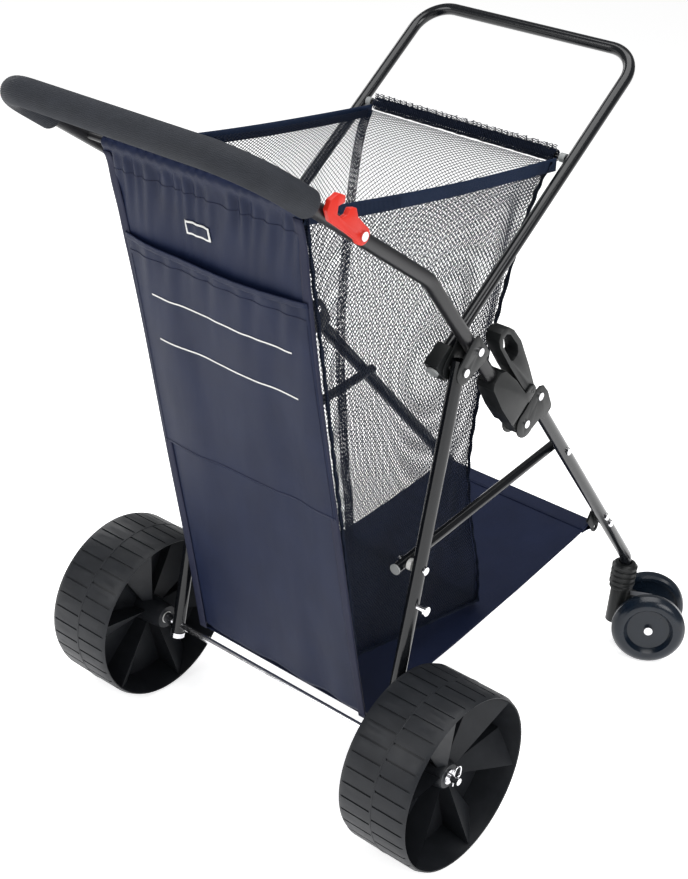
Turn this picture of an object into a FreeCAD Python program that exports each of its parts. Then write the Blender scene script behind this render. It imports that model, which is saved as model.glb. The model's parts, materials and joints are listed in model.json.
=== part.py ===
import FreeCAD, Part
import math
import os
import Sketcher
from FreeCAD import Placement, Rotation, Vector

# Folding beach cart. Millimetres, X across the cart (+X is the pusher's right), +Y forward,
# +Z up. The origin is on the ground under the middle of the cart's overall length.

doc = FreeCAD.newDocument("beach_cart")

# ---------------------------------------------------------------- driving dimensions
DIMENSIONS = {
    # rear wheels and axle
    "wheel_radius": 127.0,
    "wheel_width": 110.0,
    "wheel_centre": 277.0,
    "tread_groove_depth": 2.2,
    "tread_groove_width": 2.8,
    "drum_wall": 7.0,
    "hub_radius": 19.0,
    "bush_radius": 9.0,
    "axle_radius": 5.0,
    "axle_half": 322.0,
    "axle_back": 225.0,
    "running_gap": 0.05,
    # frame tubes
    "frame_half": 198.0,
    "leg_radius": 9.5,
    "tube_wall": 1.5,
    "plate_thick": 2.0,
    # hinge of the handle on the rear leg
    "hinge_back": 177.0,
    "hinge_height": 652.0,
    "pin_radius": 3.0,
    "rivet_head": 5.5,
    # push handle
    "tube_offset": 33.9,
    "bend_back": 263.0,
    "grip_back": 587.9,
    "grip_height": 963.9,
    "grip_half": 194.9,
    "grip_radius": 17.0,
    "rear_rod_back": 450.0,
    # front carry loop
    "loop_half": 176.0,
    "loop_radius": 8.0,
    "loop_angle": 43.7,
    "loop_reach": 501.0,
    "loop_offset": 12.0,
    "front_rod_reach": 321.0,
    "rod_radius": 4.0,
    # folding lock between handle and front leg
    "lock_back": 19.0,
    "lock_height": 542.0,
    "stub_gap": 80.0,
    "housing_wide": 28.0,
    "housing_narrow": 20.0,
    # front leg, brace and shelf bar
    "leg_top_fwd": 22.0,
    "leg_top_height": 552.0,
    "stem_half": 152.5,
    "stem_fwd": 448.4,
    "leg_bend_height": 160.0,
    "brace_low_back": 201.7,
    "brace_low_height": 382.0,
    "brace_high_fwd": 125.0,
    "brace_high_height": 456.0,
    "brace_radius": 7.0,
    "shelf_fwd": 323.0,
    "shelf_height": 256.0,
    # twin-wheel casters
    "caster_radius": 59.2,
    "caster_width": 27.0,
    "caster_spread": 43.0,
    "caster_trail": 52.0,
    "caster_yaw": -57.9,
    "collar_low": 104.0,
    "collar_high": 152.0,
    # fabric
    "cloth": 2.0,
    "panel_half": 158.0,
    # the pieces are drawn from a datum this far behind the middle of the cart
    "datum_back": 28.0,
}

sheet = doc.addObject("Spreadsheet::Sheet", "Dims")
for row, (alias, number) in enumerate(DIMENSIONS.items(), start=1):
    sheet.set("A%d" % row, alias)
    sheet.set("B%d" % row, str(number))
    sheet.setAlias("B%d" % row, alias)
doc.recompute()


def dim(alias):
    """Value of one sheet cell, for shapes that Part's functions make."""
    return float(sheet.get(alias))


nodes = []


def keep(obj, label):
    """Give a finished sub-part its label and put it on the export list."""
    obj.Label = label
    nodes.append(obj)
    return obj


def bind(obj, prop, value):
    """Set a property from a number, or bind it to an expression given as text."""
    if isinstance(value, str):
        obj.setExpression(prop, value)
    else:
        setattr(obj, prop, value)


# ---------------------------------------------------------------- Part primitives
X_AXIS = Vector(1, 0, 0)
Y_AXIS = Vector(0, 1, 0)
Z_AXIS = Vector(0, 0, 1)


def along(direction):
    return Rotation(Z_AXIS, direction)


def cylinder(radius, height, base, direction=Z_AXIS):
    obj = doc.addObject("Part::Cylinder", "Cylinder")
    bind(obj, "Radius", radius)
    bind(obj, "Height", height)
    obj.Placement = Placement(base, along(direction))
    return obj


def box(size, corner, turn=Rotation()):
    obj = doc.addObject("Part::Box", "Box")
    for prop, value in zip(("Length", "Width", "Height"), size):
        bind(obj, prop, value)
    obj.Placement = Placement(corner, turn)
    return obj


def cut(base, tool):
    obj = doc.addObject("Part::Cut", "Cut")
    obj.Base = base
    obj.Tool = tool
    return obj


def fuse(*shapes):
    obj = doc.addObject("Part::MultiFuse", "Fuse")
    obj.Shapes = list(shapes)
    return obj


def group(*solids):
    obj = doc.addObject("Part::Compound", "Group")
    obj.Links = list(solids)
    return obj


def mirrored(source):
    """The same piece on the cart's left side."""
    obj = doc.addObject("Part::Mirroring", "Mirror")
    obj.Source = source
    obj.Base = Vector(0, 0, 0)
    obj.Normal = X_AXIS
    return obj


def both_sides(right, name):
    keep(right, name + "_right")
    keep(mirrored(right), name + "_left")


def ring(outer, inner, length, base, direction):
    return cut(cylinder(outer, length, base, direction), cylinder(inner, length, base, direction))


def rivet(start, end, y, z, radius="Dims.pin_radius", heads=(True, True), head_thick=2.5):
    """Round pin across the cart from x = start to x = end, with a flat head at each chosen end."""
    solids = [cylinder(radius, end - start, Vector(start, y, z), X_AXIS)]
    if heads[0]:
        solids.append(cylinder("Dims.rivet_head", head_thick, Vector(start - head_thick, y, z), X_AXIS))
    if heads[1]:
        solids.append(cylinder("Dims.rivet_head", head_thick, Vector(end, y, z), X_AXIS))
    return fuse(*solids)


# ---------------------------------------------------------------- PartDesign helpers
def new_body(name):
    return doc.addObject("PartDesign::Body", name)


def plane(body, role):
    return [f for f in body.Origin.OriginFeatures if f.Role == role][0]


def new_sketch(body, role, offset=0.0):
    sketch = body.newObject("Sketcher::SketchObject", "Sketch")
    sketch.AttachmentSupport = [(plane(body, role), "")]
    sketch.MapMode = "FlatFace"
    sketch.AttachmentOffset = Placement(Vector(0, 0, offset), Rotation())
    return sketch


def pin_vertex(sketch, index, name, value):
    """Dimension one coordinate of the start of line `index` from the sketch's origin."""
    number = 0.0 if isinstance(value, str) else value
    sketch.addConstraint(Sketcher.Constraint(name, -1, 1, index, 1, number))
    if isinstance(value, str):
        sketch.setExpression("Constraints[%d]" % (sketch.ConstraintCount - 1), value)


def outline(body, role, points, offset=0.0):
    """Closed outline of straight edges, every vertex dimensioned from the origin."""
    sketch = new_sketch(body, role, offset)
    start = [tuple(doc_value(v) for v in p) for p in points]
    count = len(points)
    for i in range(count):
        a = Vector(start[i][0], start[i][1], 0)
        b = Vector(start[(i + 1) % count][0], start[(i + 1) % count][1], 0)
        sketch.addGeometry(Part.LineSegment(a, b), False)
    for i in range(count):
        sketch.addConstraint(Sketcher.Constraint("Coincident", i, 2, (i + 1) % count, 1))
    for i, (first, second) in enumerate(points):
        pin_vertex(sketch, i, "DistanceX", first)
        pin_vertex(sketch, i, "DistanceY", second)
    return sketch


def doc_value(value):
    """Number behind a coordinate: itself, or what its expression gives now."""
    if not isinstance(value, str):
        return value
    return float(sheet.evalExpression(value.replace("Dims.", "")))


def circle(body, role, centre, radius, offset=0.0):
    sketch = new_sketch(body, role, offset)
    middle = Vector(doc_value(centre[0]), doc_value(centre[1]), 0)
    sketch.addGeometry(Part.Circle(middle, Z_AXIS, doc_value(radius)), False)
    sketch.addConstraint(Sketcher.Constraint("DistanceX", -1, 1, 0, 3, middle.x))
    sketch.addConstraint(Sketcher.Constraint("DistanceY", -1, 1, 0, 3, middle.y))
    sketch.addConstraint(Sketcher.Constraint("Radius", 0, doc_value(radius)))
    if isinstance(radius, str):
        sketch.setExpression("Constraints[2]", radius)
    return sketch


def pad(body, sketch, length, side="Symmetric"):
    feature = body.newObject("PartDesign::Pad", "Pad")
    feature.Profile = sketch
    feature.SideType = side
    bind(feature, "Length", length)
    body.Tip = feature
    return feature


def pocket(body, sketch, length):
    """Cut the sketch to both sides of its plane."""
    feature = body.newObject("PartDesign::Pocket", "Pocket")
    feature.Profile = sketch
    feature.SideType = "Symmetric"
    bind(feature, "Length", length)
    body.Tip = feature
    return feature


def revolve(body, sketch):
    feature = body.newObject("PartDesign::Revolution", "Revolution")
    feature.Profile = sketch
    feature.ReferenceAxis = (sketch, ["H_Axis"])
    feature.Angle = 360
    body.Tip = feature
    return feature


def polar(body, originals, count):
    feature = body.newObject("PartDesign::PolarPattern", "PolarPattern")
    feature.Originals = originals
    feature.Axis = (plane(body, "X_Axis"), [""])
    feature.Angle = 360
    feature.Occurrences = count
    body.Tip = feature
    return feature


# ---------------------------------------------------------------- bent tubes
def rounded_path(points, radii):
    """Wire of straight runs joined by tangent arcs, one radius for each inner point."""
    edges = []
    start = points[0]
    for i, radius in enumerate(radii, start=1):
        corner = points[i]
        back = (points[i - 1] - corner).normalize()
        ahead = (points[i + 1] - corner).normalize()
        half = 0.5 * back.getAngle(ahead)
        reach = radius / math.tan(half)
        middle = (back + ahead).normalize()
        first = corner + back * reach
        last = corner + ahead * reach
        top = corner + middle * (radius / math.sin(half) - radius)
        edges.append(Part.LineSegment(start, first).toShape())
        edges.append(Part.Arc(first, top, last).toShape())
        start = last
    edges.append(Part.LineSegment(start, points[-1]).toShape())
    return Part.Wire(edges)


def swept(path, radius):
    start = path.Edges[0].valueAt(path.Edges[0].FirstParameter)
    direction = path.Edges[0].tangentAt(path.Edges[0].FirstParameter)
    section = Part.Wire([Part.Circle(start, direction, radius).toShape()])
    return path.makePipeShell([section], True, False, 2)


def bent_tube(points, radii, outer, wall):
    """Hollow tube along a rounded path; a wall of 0 makes a solid bar."""
    path = rounded_path(points, radii)
    solid = swept(path, outer)
    if wall:
        solid = solid.cut(swept(path, outer - wall))
    return solid


def feature(shape, placement=None):
    obj = doc.addObject("Part::Feature", "Piece")
    obj.Shape = shape
    if placement:
        obj.Placement = placement
    return obj


def cross_hole(radius, y, z, half=400.0):
    return Part.makeCylinder(radius, 2 * half, Vector(-half, y, z), X_AXIS)


# ---------------------------------------------------------------- places in the side view
AXLE_Y = -dim("axle_back")
AXLE_Z = dim("wheel_radius")
HINGE_Y = -dim("hinge_back")
HINGE_Z = dim("hinge_height")
LOCK_Y = -dim("lock_back")
LOCK_Z = dim("lock_height")
FRAME_X = dim("frame_half")
LEG_R = dim("leg_radius")
PIN_R = dim("pin_radius")

# The lower stretch of the handle, the lock and the front leg lie on lines at 45 degrees.
# A piece drawn in that slope has its own Y down and forward along the line, and its Z up and
# forward, square to it.
SLOPE = Rotation(X_AXIS, -45)


def on_slope(y, z, first, second):
    """Side-view point from an origin on the slope: `first` along it, `second` square to it."""
    step = SLOPE.multVec(Vector(0, first, second))
    return y + step.y, z + step.z


def leg_line(height):
    """Y of the straight rear leg's axis at a height, through the axle and the hinge."""
    share = (height - AXLE_Z) / (HINGE_Z - AXLE_Z)
    return AXLE_Y + share * (HINGE_Y - AXLE_Y)


# ---------------------------------------------------------------- rear wheels
def rear_wheel():
    """Moulded drum wheel: grooved tread, web, hub and six swept blades on each face."""
    body = new_body("RearWheel")
    half = dim("wheel_width") / 2
    radius = dim("wheel_radius")
    inner = radius - dim("drum_wall")
    web = 4.0
    hub_out = 28.0
    hub_in = -54.0
    profile = [
        (hub_in, "Dims.bush_radius"),
        (hub_out, "Dims.bush_radius"),
        (hub_out, "Dims.hub_radius - 2"),
        (hub_out - 3, "Dims.hub_radius"),
        (web, "Dims.hub_radius + 3"),
        (web, inner - 3),
        (half - 14, inner),
        (half - 1, inner + 2),
        (half, inner + 3.5),
        (half - 2.5, radius - 2.5),
        (half - 7, radius - 0.7),
        (1.2, radius - 0.5),
        (0.8, "Dims.wheel_radius"),
        (-0.8, "Dims.wheel_radius"),
        (-1.2, radius - 0.5),
        (7 - half, radius - 0.7),
        (2.5 - half, radius - 2.5),
        (-half, inner + 3.5),
        (1 - half, inner + 2),
        (14 - half, inner),
        (-web, inner - 3),
        (-web, "Dims.hub_radius + 3"),
        (hub_in + 8, "Dims.hub_radius"),
        (hub_in, "Dims.hub_radius - 2"),
    ]
    revolve(body, outline(body, "XY_Plane", profile))
    doc.recompute()
    # One blade per face: narrow at the hub, wide and steeply sloped at the rim.
    blades = []
    root = 15.0
    tip = inner - 1
    for side in (1, -1):
        low = outline(body, "XZ_Plane", [(0, -3), (side * 26, -4), (side * 17, 4), (0, 3)], -root)
        high = outline(
            body, "XZ_Plane", [(0, -20), (side * 51, -25), (side * 20, 21), (0, 20)], -tip
        )
        blade = body.newObject("PartDesign::AdditiveLoft", "Blade")
        blade.Profile = low
        blade.Sections = [high]
        blade.Ruled = True
        body.Tip = blade
        doc.recompute()
        blades.append(blade)
    polar(body, blades, 6)
    doc.recompute()
    # Two rows of tread grooves, the second row half a pitch round.
    grooves = 36
    for start, turn in ((2.0, 0.0), (-half - 1, 180.0 / grooves)):
        groove = body.newObject("PartDesign::SubtractiveBox", "Groove")
        groove.Length = half - 1
        bind(groove, "Width", "Dims.tread_groove_width")
        groove.Height = 2 * dim("tread_groove_depth")
        lift = radius - dim("tread_groove_depth")
        about = Rotation(X_AXIS, turn)
        corner = about.multVec(Vector(start, -0.5 * dim("tread_groove_width"), lift))
        groove.AttachmentOffset = Placement(corner, about)
        groove.Placement = Placement(corner, about)
        body.Tip = groove
        doc.recompute()
        before = body.Shape.Volume
        polar(body, [groove], grooves)
        doc.recompute()
        if body.Shape.Volume >= before:
            raise RuntimeError("the tread grooves cut nothing")
    body.Placement = Placement(Vector(dim("wheel_centre"), AXLE_Y, AXLE_Z), Rotation())
    return body


both_sides(rear_wheel(), "rear_wheel")


def wheel_bushes():
    """Two nylon bushes pressed into one wheel's hub."""
    length = 18.0
    inner = "Dims.axle_radius + Dims.running_gap"
    starts = (dim("wheel_centre") - 54.0, dim("wheel_centre") + 28.0 - length)
    places = [Vector(x, AXLE_Y, AXLE_Z) for x in starts]
    return group(*[ring("Dims.bush_radius", inner, length, p, X_AXIS) for p in places])


both_sides(wheel_bushes(), "wheel_bushes")


# ---------------------------------------------------------------- axle and its small parts
CLIP_X = 313.0
CLIP_WIRE = 1.1


def rear_axle():
    half = dim("axle_half")
    rod = cylinder("Dims.axle_radius", 2 * half, Vector(-half, AXLE_Y, AXLE_Z), X_AXIS)
    drop = 2 * dim("axle_radius")
    holes = [
        cylinder(CLIP_WIRE, 2 * drop, Vector(side * CLIP_X, AXLE_Y, AXLE_Z - drop)) for side in (1, -1)
    ]
    return cut(rod, fuse(*holes))


keep(rear_axle(), "rear_axle")


def axle_spacers():
    """A spacer between leg and wheel and a washer outside the wheel, on each side."""
    solids = []
    inner = "Dims.axle_radius"
    leg_face = FRAME_X + LEG_R
    hub_in = dim("wheel_centre") - 54.0
    hub_out = dim("wheel_centre") + 28.0
    for side in (1, -1):
        way = Vector(side, 0, 0)
        near = Vector(side * (leg_face + 0.3), AXLE_Y, AXLE_Z)
        far = Vector(side * (hub_out + 0.5), AXLE_Y, AXLE_Z)
        solids.append(ring(8.0, inner, hub_in - leg_face - 0.8, near, way))
        solids.append(ring(10.5, inner, 1.6, far, way))
    return group(*solids)


keep(axle_spacers(), "axle_spacers")


def hitch_pins():
    """Spring wire clip through each axle end: a straight leg and a rounded bow beside it."""
    solids = []
    bow = 7.0
    for side in (1, -1):
        x = side * CLIP_X
        leg = [
            Vector(x, AXLE_Y, AXLE_Z - 11),
            Vector(x, AXLE_Y, AXLE_Z + 16),
            Vector(x, AXLE_Y + 2 * bow, AXLE_Z + 16),
            Vector(x, AXLE_Y + 2 * bow, AXLE_Z + 1),
            Vector(x, AXLE_Y + bow, AXLE_Z - 4),
            Vector(x, AXLE_Y + bow, AXLE_Z - 9),
        ]
        solids.append(feature(bent_tube(leg, [6.9, 6.9, 4.5, 2.5], CLIP_WIRE, 0)))
    return group(*solids)


keep(hitch_pins(), "hitch_pins")

# ---------------------------------------------------------------- rear legs
LEG_LOW = 108.0
LEG_TOP = HINGE_Z + 13.0


STUD_Z = 330.0
BRACE_LOW = (-dim("brace_low_back"), dim("brace_low_height"))


def rear_leg():
    """Straight tube from under the axle to just above the handle's hinge."""
    low = Vector(FRAME_X, leg_line(LEG_LOW), LEG_LOW)
    top = Vector(FRAME_X, leg_line(LEG_TOP), LEG_TOP)
    way = top - low
    wall = cut(
        cylinder("Dims.leg_radius", way.Length, low, way),
        cylinder("Dims.leg_radius - Dims.tube_wall", way.Length, low, way),
    )
    across = 2 * dim("leg_radius") + 4
    start = FRAME_X - across / 2
    holes = [
        cylinder("Dims.axle_radius", across, Vector(start, AXLE_Y, AXLE_Z), X_AXIS),
        cylinder("Dims.pin_radius", across, Vector(start, HINGE_Y, HINGE_Z), X_AXIS),
        cylinder("Dims.pin_radius", across, Vector(start, *BRACE_LOW), X_AXIS),
    ]
    return cut(wall, fuse(*holes))


plain_leg = rear_leg()
stud_hole = cylinder(3.6, 20.0, Vector(FRAME_X, leg_line(STUD_Z), STUD_Z), X_AXIS)
keep(cut(plain_leg, stud_hole), "rear_leg_right")
keep(mirrored(plain_leg), "rear_leg_left")


def leg_ferrules():
    """Bright ring round the foot of each rear leg."""
    way = Vector(0, HINGE_Y - AXLE_Y, HINGE_Z - AXLE_Z)
    foot = Vector(FRAME_X, leg_line(LEG_LOW), LEG_LOW)
    right = ring("Dims.leg_radius + 1.4", "Dims.leg_radius", 7.0, foot, way)
    return group(right, mirrored(right))


keep(leg_ferrules(), "leg_ferrules")


def catch_stud():
    """Headed stud on the right rear leg that the fold hook drops over."""
    face = FRAME_X + LEG_R
    sunk = 1.4
    shank = cylinder(3.6, 12.0 + sunk, Vector(face - sunk, leg_line(STUD_Z), STUD_Z), X_AXIS)
    head = cylinder(6.5, 3.5, Vector(face + 12.0, leg_line(STUD_Z), STUD_Z), X_AXIS)
    return fuse(shank, head)


keep(catch_stud(), "catch_stud")

HINGE_PLATE_GAP = 0.3
SADDLE_IN = 165.0
SADDLE_OUT = FRAME_X - LEG_R - HINGE_PLATE_GAP - dim("plate_thick") - 0.4


def hinge_pins():
    """Pin through the loop's saddle, both hinge plates and the rear leg, on each side."""
    outside = FRAME_X + LEG_R + HINGE_PLATE_GAP + dim("plate_thick") + 0.3
    right = rivet(SADDLE_IN - 0.4, outside, HINGE_Y, HINGE_Z)
    return group(right, mirrored(right))


keep(hinge_pins(), "hinge_pins")

BRACE_LOW_X = 175.0
BRACE_LOW_Y = -dim("brace_low_back")
BRACE_LOW_Z = dim("brace_low_height")


def brace_pins():
    """Pin that carries each side brace on its rear leg."""
    inside = BRACE_LOW_X - dim("brace_radius") - 0.4
    right = rivet(inside, FRAME_X + LEG_R, BRACE_LOW_Y, BRACE_LOW_Z)
    return group(right, mirrored(right))


keep(brace_pins(), "brace_pins")


def brace_spacers():
    """White spacer that keeps each brace clear of its leg."""
    start = BRACE_LOW_X + dim("brace_radius") + 0.3
    length = FRAME_X - LEG_R - start
    right = ring(8.0, "Dims.pin_radius", length, Vector(start, BRACE_LOW_Y, BRACE_LOW_Z), X_AXIS)
    return group(right, mirrored(right))


keep(brace_spacers(), "brace_spacers")

# ---------------------------------------------------------------- push handle
# The lower arm's axis is the 45 degree line through the lock's pivot.
TUBE_SUM = LOCK_Y + LOCK_Z
STUB_END = on_slope(LOCK_Y, LOCK_Z, -dim("stub_gap"), 0)
BEND = (-dim("bend_back"), TUBE_SUM + dim("bend_back"))
CORNER = (-dim("grip_back"), dim("grip_height"))
PLATE_RIVET = on_slope(HINGE_Y, HINGE_Z, 2.8, dim("tube_offset"))
CORNER_RADIUS = 67.0
BEND_RADIUS = 75.0


def arm_point(y):
    """Axis of the right arm above its bend, at a given Y."""
    share = (y - BEND[0]) / (CORNER[0] - BEND[0])
    x = FRAME_X + 1 + share * (dim("grip_half") - FRAME_X - 1)
    return Vector(x, y, BEND[1] + share * (CORNER[1] - BEND[1]))


ARM_WAY = (Vector(dim("grip_half"), *CORNER) - Vector(FRAME_X + 1, *BEND)).normalize()
HOOK_AXIS = (X_AXIS - ARM_WAY * X_AXIS.dot(ARM_WAY)).normalize()
HOOK_PIVOT = arm_point(-415.0)


def mirror_points(right):
    """Right-hand path points, then the same points on the left in the opposite order."""
    return right + [Vector(-p.x, p.y, p.z) for p in reversed(right)]


def handle_tube():
    """One tube: stub in the lock, bend above the hinge, flared arms and the cross bar."""
    right = [
        Vector(FRAME_X, STUB_END[0], STUB_END[1]),
        Vector(FRAME_X, BEND[0], BEND[1]),
        Vector(dim("grip_half"), CORNER[0], CORNER[1]),
    ]
    radii = [BEND_RADIUS, CORNER_RADIUS, CORNER_RADIUS, BEND_RADIUS]
    tube = bent_tube(mirror_points(right), radii, LEG_R, dim("tube_wall"))
    tube = tube.cut(cross_hole(PIN_R, PLATE_RIVET[0], PLATE_RIVET[1]))
    rod = arm_point(-dim("rear_rod_back"))
    tube = tube.cut(cross_hole(dim("rod_radius"), rod.y, rod.z))
    hook_hole = Part.makeCylinder(PIN_R, 20.0, HOOK_PIVOT, HOOK_AXIS)
    return tube.cut(hook_hole)


keep(feature(handle_tube()), "handle_tube")

GRIP_END_Y = -495.0


def handle_grip():
    """Foam sleeve over the cross bar and both corners."""
    right = [arm_point(GRIP_END_Y), Vector(dim("grip_half"), CORNER[0], CORNER[1])]
    path = rounded_path(mirror_points(right), [CORNER_RADIUS, CORNER_RADIUS])
    return swept(path, dim("grip_radius")).cut(swept(path, LEG_R + 0.3))


keep(feature(handle_grip()), "handle_grip")


def hinge_plate(inner_face):
    """Flat link from the hinge pin up to the handle tube, drawn in the slope."""
    body = new_body("HingePlate")
    middle = inner_face + dim("plate_thick") / 2
    pad(body, circle(body, "YZ_Plane", (0, 0), 16.0), "Dims.plate_thick")
    corners = [(-16, 0), (-21, 30), (-21, 42), (-17, 46), (20, 46), (24, 42), (24, 30), (16, 0)]
    pad(body, outline(body, "YZ_Plane", corners), "Dims.plate_thick")
    thick = 2 * dim("plate_thick")
    pocket(body, circle(body, "YZ_Plane", (0, 0), "Dims.pin_radius + Dims.running_gap"), thick)
    pocket(body, circle(body, "YZ_Plane", (2.8, dim("tube_offset")), "Dims.pin_radius"), thick)
    body.Placement = Placement(Vector(middle, HINGE_Y, HINGE_Z), SLOPE)
    return body


def hinge_plates():
    """Inner and outer plate on each side."""
    outer = hinge_plate(FRAME_X + LEG_R + HINGE_PLATE_GAP)
    inner = hinge_plate(FRAME_X - LEG_R - HINGE_PLATE_GAP - dim("plate_thick"))
    return group(outer, inner, mirrored(outer), mirrored(inner))


keep(hinge_plates(), "hinge_plates")


def plate_rivets():
    """Rivet through the plates and the handle tube, on each side."""
    reach = LEG_R + HINGE_PLATE_GAP + dim("plate_thick")
    right = rivet(FRAME_X - reach, FRAME_X + reach, *PLATE_RIVET, heads=(False, True))
    return group(right, mirrored(right))


keep(plate_rivets(), "plate_rivets")


def rear_rod():
    """Rod between the handle's arms that carries the top of the back panel."""
    rod = arm_point(-dim("rear_rod_back"))
    half = rod.x + LEG_R + 0.6
    return cylinder("Dims.rod_radius", 2 * half, Vector(-half, rod.y, rod.z), X_AXIS)


keep(rear_rod(), "rear_rod")

# ---------------------------------------------------------------- fold hook
HOOK_THICK = 7.0
HOOK_GAP = 1.2


def fold_hook():
    """Red catch on the right arm: a round eye, an arm and an open C at the far end."""
    body = new_body("FoldHook")
    pad(body, circle(body, "YZ_Plane", (0, 0), 11.0), HOOK_THICK)
    arm = [(4, -9), (-30, -7), (-62, -6), (-74, 2), (-76, 14), (-68, 25), (-56, 27), (-52, 20)]
    arm += [(-60, 13), (-56, 5), (-46, 4), (-40, 10), (-40, 18), (-30, 22), (-22, 15), (4, 10)]
    pad(body, outline(body, "YZ_Plane", arm), HOOK_THICK)
    pocket(body, circle(body, "YZ_Plane", (0, 0), "Dims.pin_radius + Dims.running_gap"), 2 * HOOK_THICK)
    turn = Rotation(HOOK_AXIS, -ARM_WAY, HOOK_AXIS.cross(-ARM_WAY), "XYZ")
    place = HOOK_PIVOT + HOOK_AXIS * (LEG_R + HOOK_GAP + HOOK_THICK / 2)
    body.Placement = Placement(place, turn)
    return body


keep(fold_hook(), "fold_hook")


def hook_rivet():
    """Rivet that the fold hook turns on."""
    sunk = 1.4
    length = sunk + HOOK_GAP + HOOK_THICK + 0.3
    start = HOOK_PIVOT + HOOK_AXIS * (LEG_R - sunk)
    shank = cylinder("Dims.pin_radius", length, start, HOOK_AXIS)
    head = cylinder("Dims.rivet_head", 2.5, start + HOOK_AXIS * length, HOOK_AXIS)
    return fuse(shank, head)


keep(hook_rivet(), "hook_rivet")

# ---------------------------------------------------------------- folding lock
CATCH = (-7.0, 41.0)
LEVER_PIVOT = (-34.0, 34.0)
EAR_INNER = 11.4


def lock_housing():
    """Moulded block on the handle's stub, with a boss on the lock pivot and two ears."""
    body = new_body("LockHousing")
    pad(body, circle(body, "YZ_Plane", (0, 0), 16.0), "Dims.housing_narrow")
    neck = [(-2, -16), (-36, -19), (-36, 24), (-14, 22), (8, 13.5)]
    pad(body, outline(body, "YZ_Plane", neck), "Dims.housing_narrow")
    block = [(-28, -17), (-34, -20), (-72, -20), (-114, -15), (-121, -9)]
    block += [(-121, 9), (-114, 16), (-80, 22), (-28, 24)]
    pad(body, outline(body, "YZ_Plane", block), "Dims.housing_wide")
    ear_top = [(-25, 20), (-43, 20), (-43, 36), (-38, 42), (-30, 42), (-25, 36)]
    pad(body, outline(body, "YZ_Plane", ear_top), "Dims.housing_wide")
    slot = [(-20, 25), (-46, 25), (-46, 46), (-20, 46)]
    pocket(body, outline(body, "YZ_Plane", slot), 2 * EAR_INNER)
    wide = 2 * dim("housing_wide")
    pocket(body, circle(body, "YZ_Plane", (0, 0), "Dims.pin_radius + Dims.running_gap"), wide)
    pocket(body, circle(body, "YZ_Plane", LEVER_PIVOT, "Dims.pin_radius + Dims.running_gap"), wide)
    # Socket for the handle's stub, open at the upper end.
    socket = circle(body, "XZ_Plane", (0, 0), "Dims.leg_radius", dim("stub_gap"))
    mouth = body.newObject("PartDesign::Pocket", "Socket")
    mouth.Profile = socket
    mouth.Reversed = True
    mouth.Length = 60.0
    body.Tip = mouth
    doc.recompute()
    inside = Vector(0, -dim("stub_gap") - 20.0, 0)
    if body.Shape.isInside(inside, 0.1, True):
        raise RuntimeError("the lock housing's socket points the wrong way")
    body.Placement = Placement(Vector(FRAME_X, LOCK_Y, LOCK_Z), SLOPE)
    return body


both_sides(lock_housing(), "lock_housing")

LEVER_WIDE = 22.0


def lock_lever():
    """Pull-up trigger with a finger hole, a nose for the catch pin and side trunnions."""
    body = new_body("LockLever")
    frame = [(-26, 27), (-60, 26), (-104, 26), (-150, 28), (-161, 32), (-166, 40), (-165, 48)]
    frame += [(-158, 56), (-146, 60), (-118, 61), (-70, 52), (-40, 45), (-28, 42)]
    pad(body, outline(body, "YZ_Plane", frame), LEVER_WIDE)
    nose = [(-13, 36), (-15, 34), (-30, 30), (-30, 42), (-16, 45), (-13, 43)]
    pad(body, outline(body, "YZ_Plane", nose), 16.0)
    hole = [(-108, 35), (-113, 32), (-146, 33), (-155, 39), (-155, 47), (-147, 52), (-120, 53)]
    hole += [(-110, 49), (-107, 43)]
    pocket(body, outline(body, "YZ_Plane", hole), 2 * LEVER_WIDE)
    pad(body, circle(body, "YZ_Plane", LEVER_PIVOT, "Dims.pin_radius"), "Dims.housing_wide")
    body.Placement = Placement(Vector(FRAME_X, LOCK_Y, LOCK_Z), SLOPE)
    return body


both_sides(lock_lever(), "lock_lever")

LOCK_PLATE_FACE = 10.4


def lock_plate(inner_face):
    """Steel cheek riveted to the top of the front leg, drawn in the slope."""
    body = new_body("LockPlate")
    middle = FRAME_X + inner_face + dim("plate_thick") / 2
    pad(body, circle(body, "YZ_Plane", (0, 0), 20.0), "Dims.plate_thick")
    corners = [(-19, 6), (-22, 40), (-20, 49), (-13, 55), (4, 56), (30, 50), (34, 46), (34, 29)]
    corners += [(24, 24), (20, 4)]
    pad(body, outline(body, "YZ_Plane", corners), "Dims.plate_thick")
    pocket(body, circle(body, "YZ_Plane", (0, 0), "Dims.pin_radius"), 2 * dim("plate_thick"))
    pocket(body, circle(body, "YZ_Plane", CATCH, "Dims.pin_radius"), 2 * dim("plate_thick"))
    body.Placement = Placement(Vector(middle, LOCK_Y, LOCK_Z), SLOPE)
    return body


def lock_plates():
    outer = lock_plate(LOCK_PLATE_FACE)
    inner = lock_plate(-LOCK_PLATE_FACE - dim("plate_thick"))
    return group(outer, inner, mirrored(outer), mirrored(inner))


keep(lock_plates(), "lock_plates")


def lock_rivets():
    """Pivot and catch pin across the cheeks, on each side."""
    reach = LOCK_PLATE_FACE + dim("plate_thick")
    catch = on_slope(LOCK_Y, LOCK_Z, *CATCH)
    pivot_pin = rivet(FRAME_X - reach, FRAME_X + reach, LOCK_Y, LOCK_Z)
    catch_pin = rivet(FRAME_X - reach, FRAME_X + reach, *catch)
    return group(pivot_pin, catch_pin, mirrored(pivot_pin), mirrored(catch_pin))


keep(lock_rivets(), "lock_rivets")

# ---------------------------------------------------------------- front carry loop
LOOP_X = dim("loop_half")
LOOP_R = dim("loop_radius")
LOOP_TURN = Rotation(X_AXIS, dim("loop_angle"))


def on_loop(x, reach, rise=0.0):
    """Point of the loop's plane: `reach` up the tube from the hinge, `rise` square to it."""
    step = LOOP_TURN.multVec(Vector(0, reach, dim("loop_offset") + rise))
    return Vector(x, HINGE_Y + step.y, HINGE_Z + step.z)


LOOP_LOW = -18.0


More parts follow.
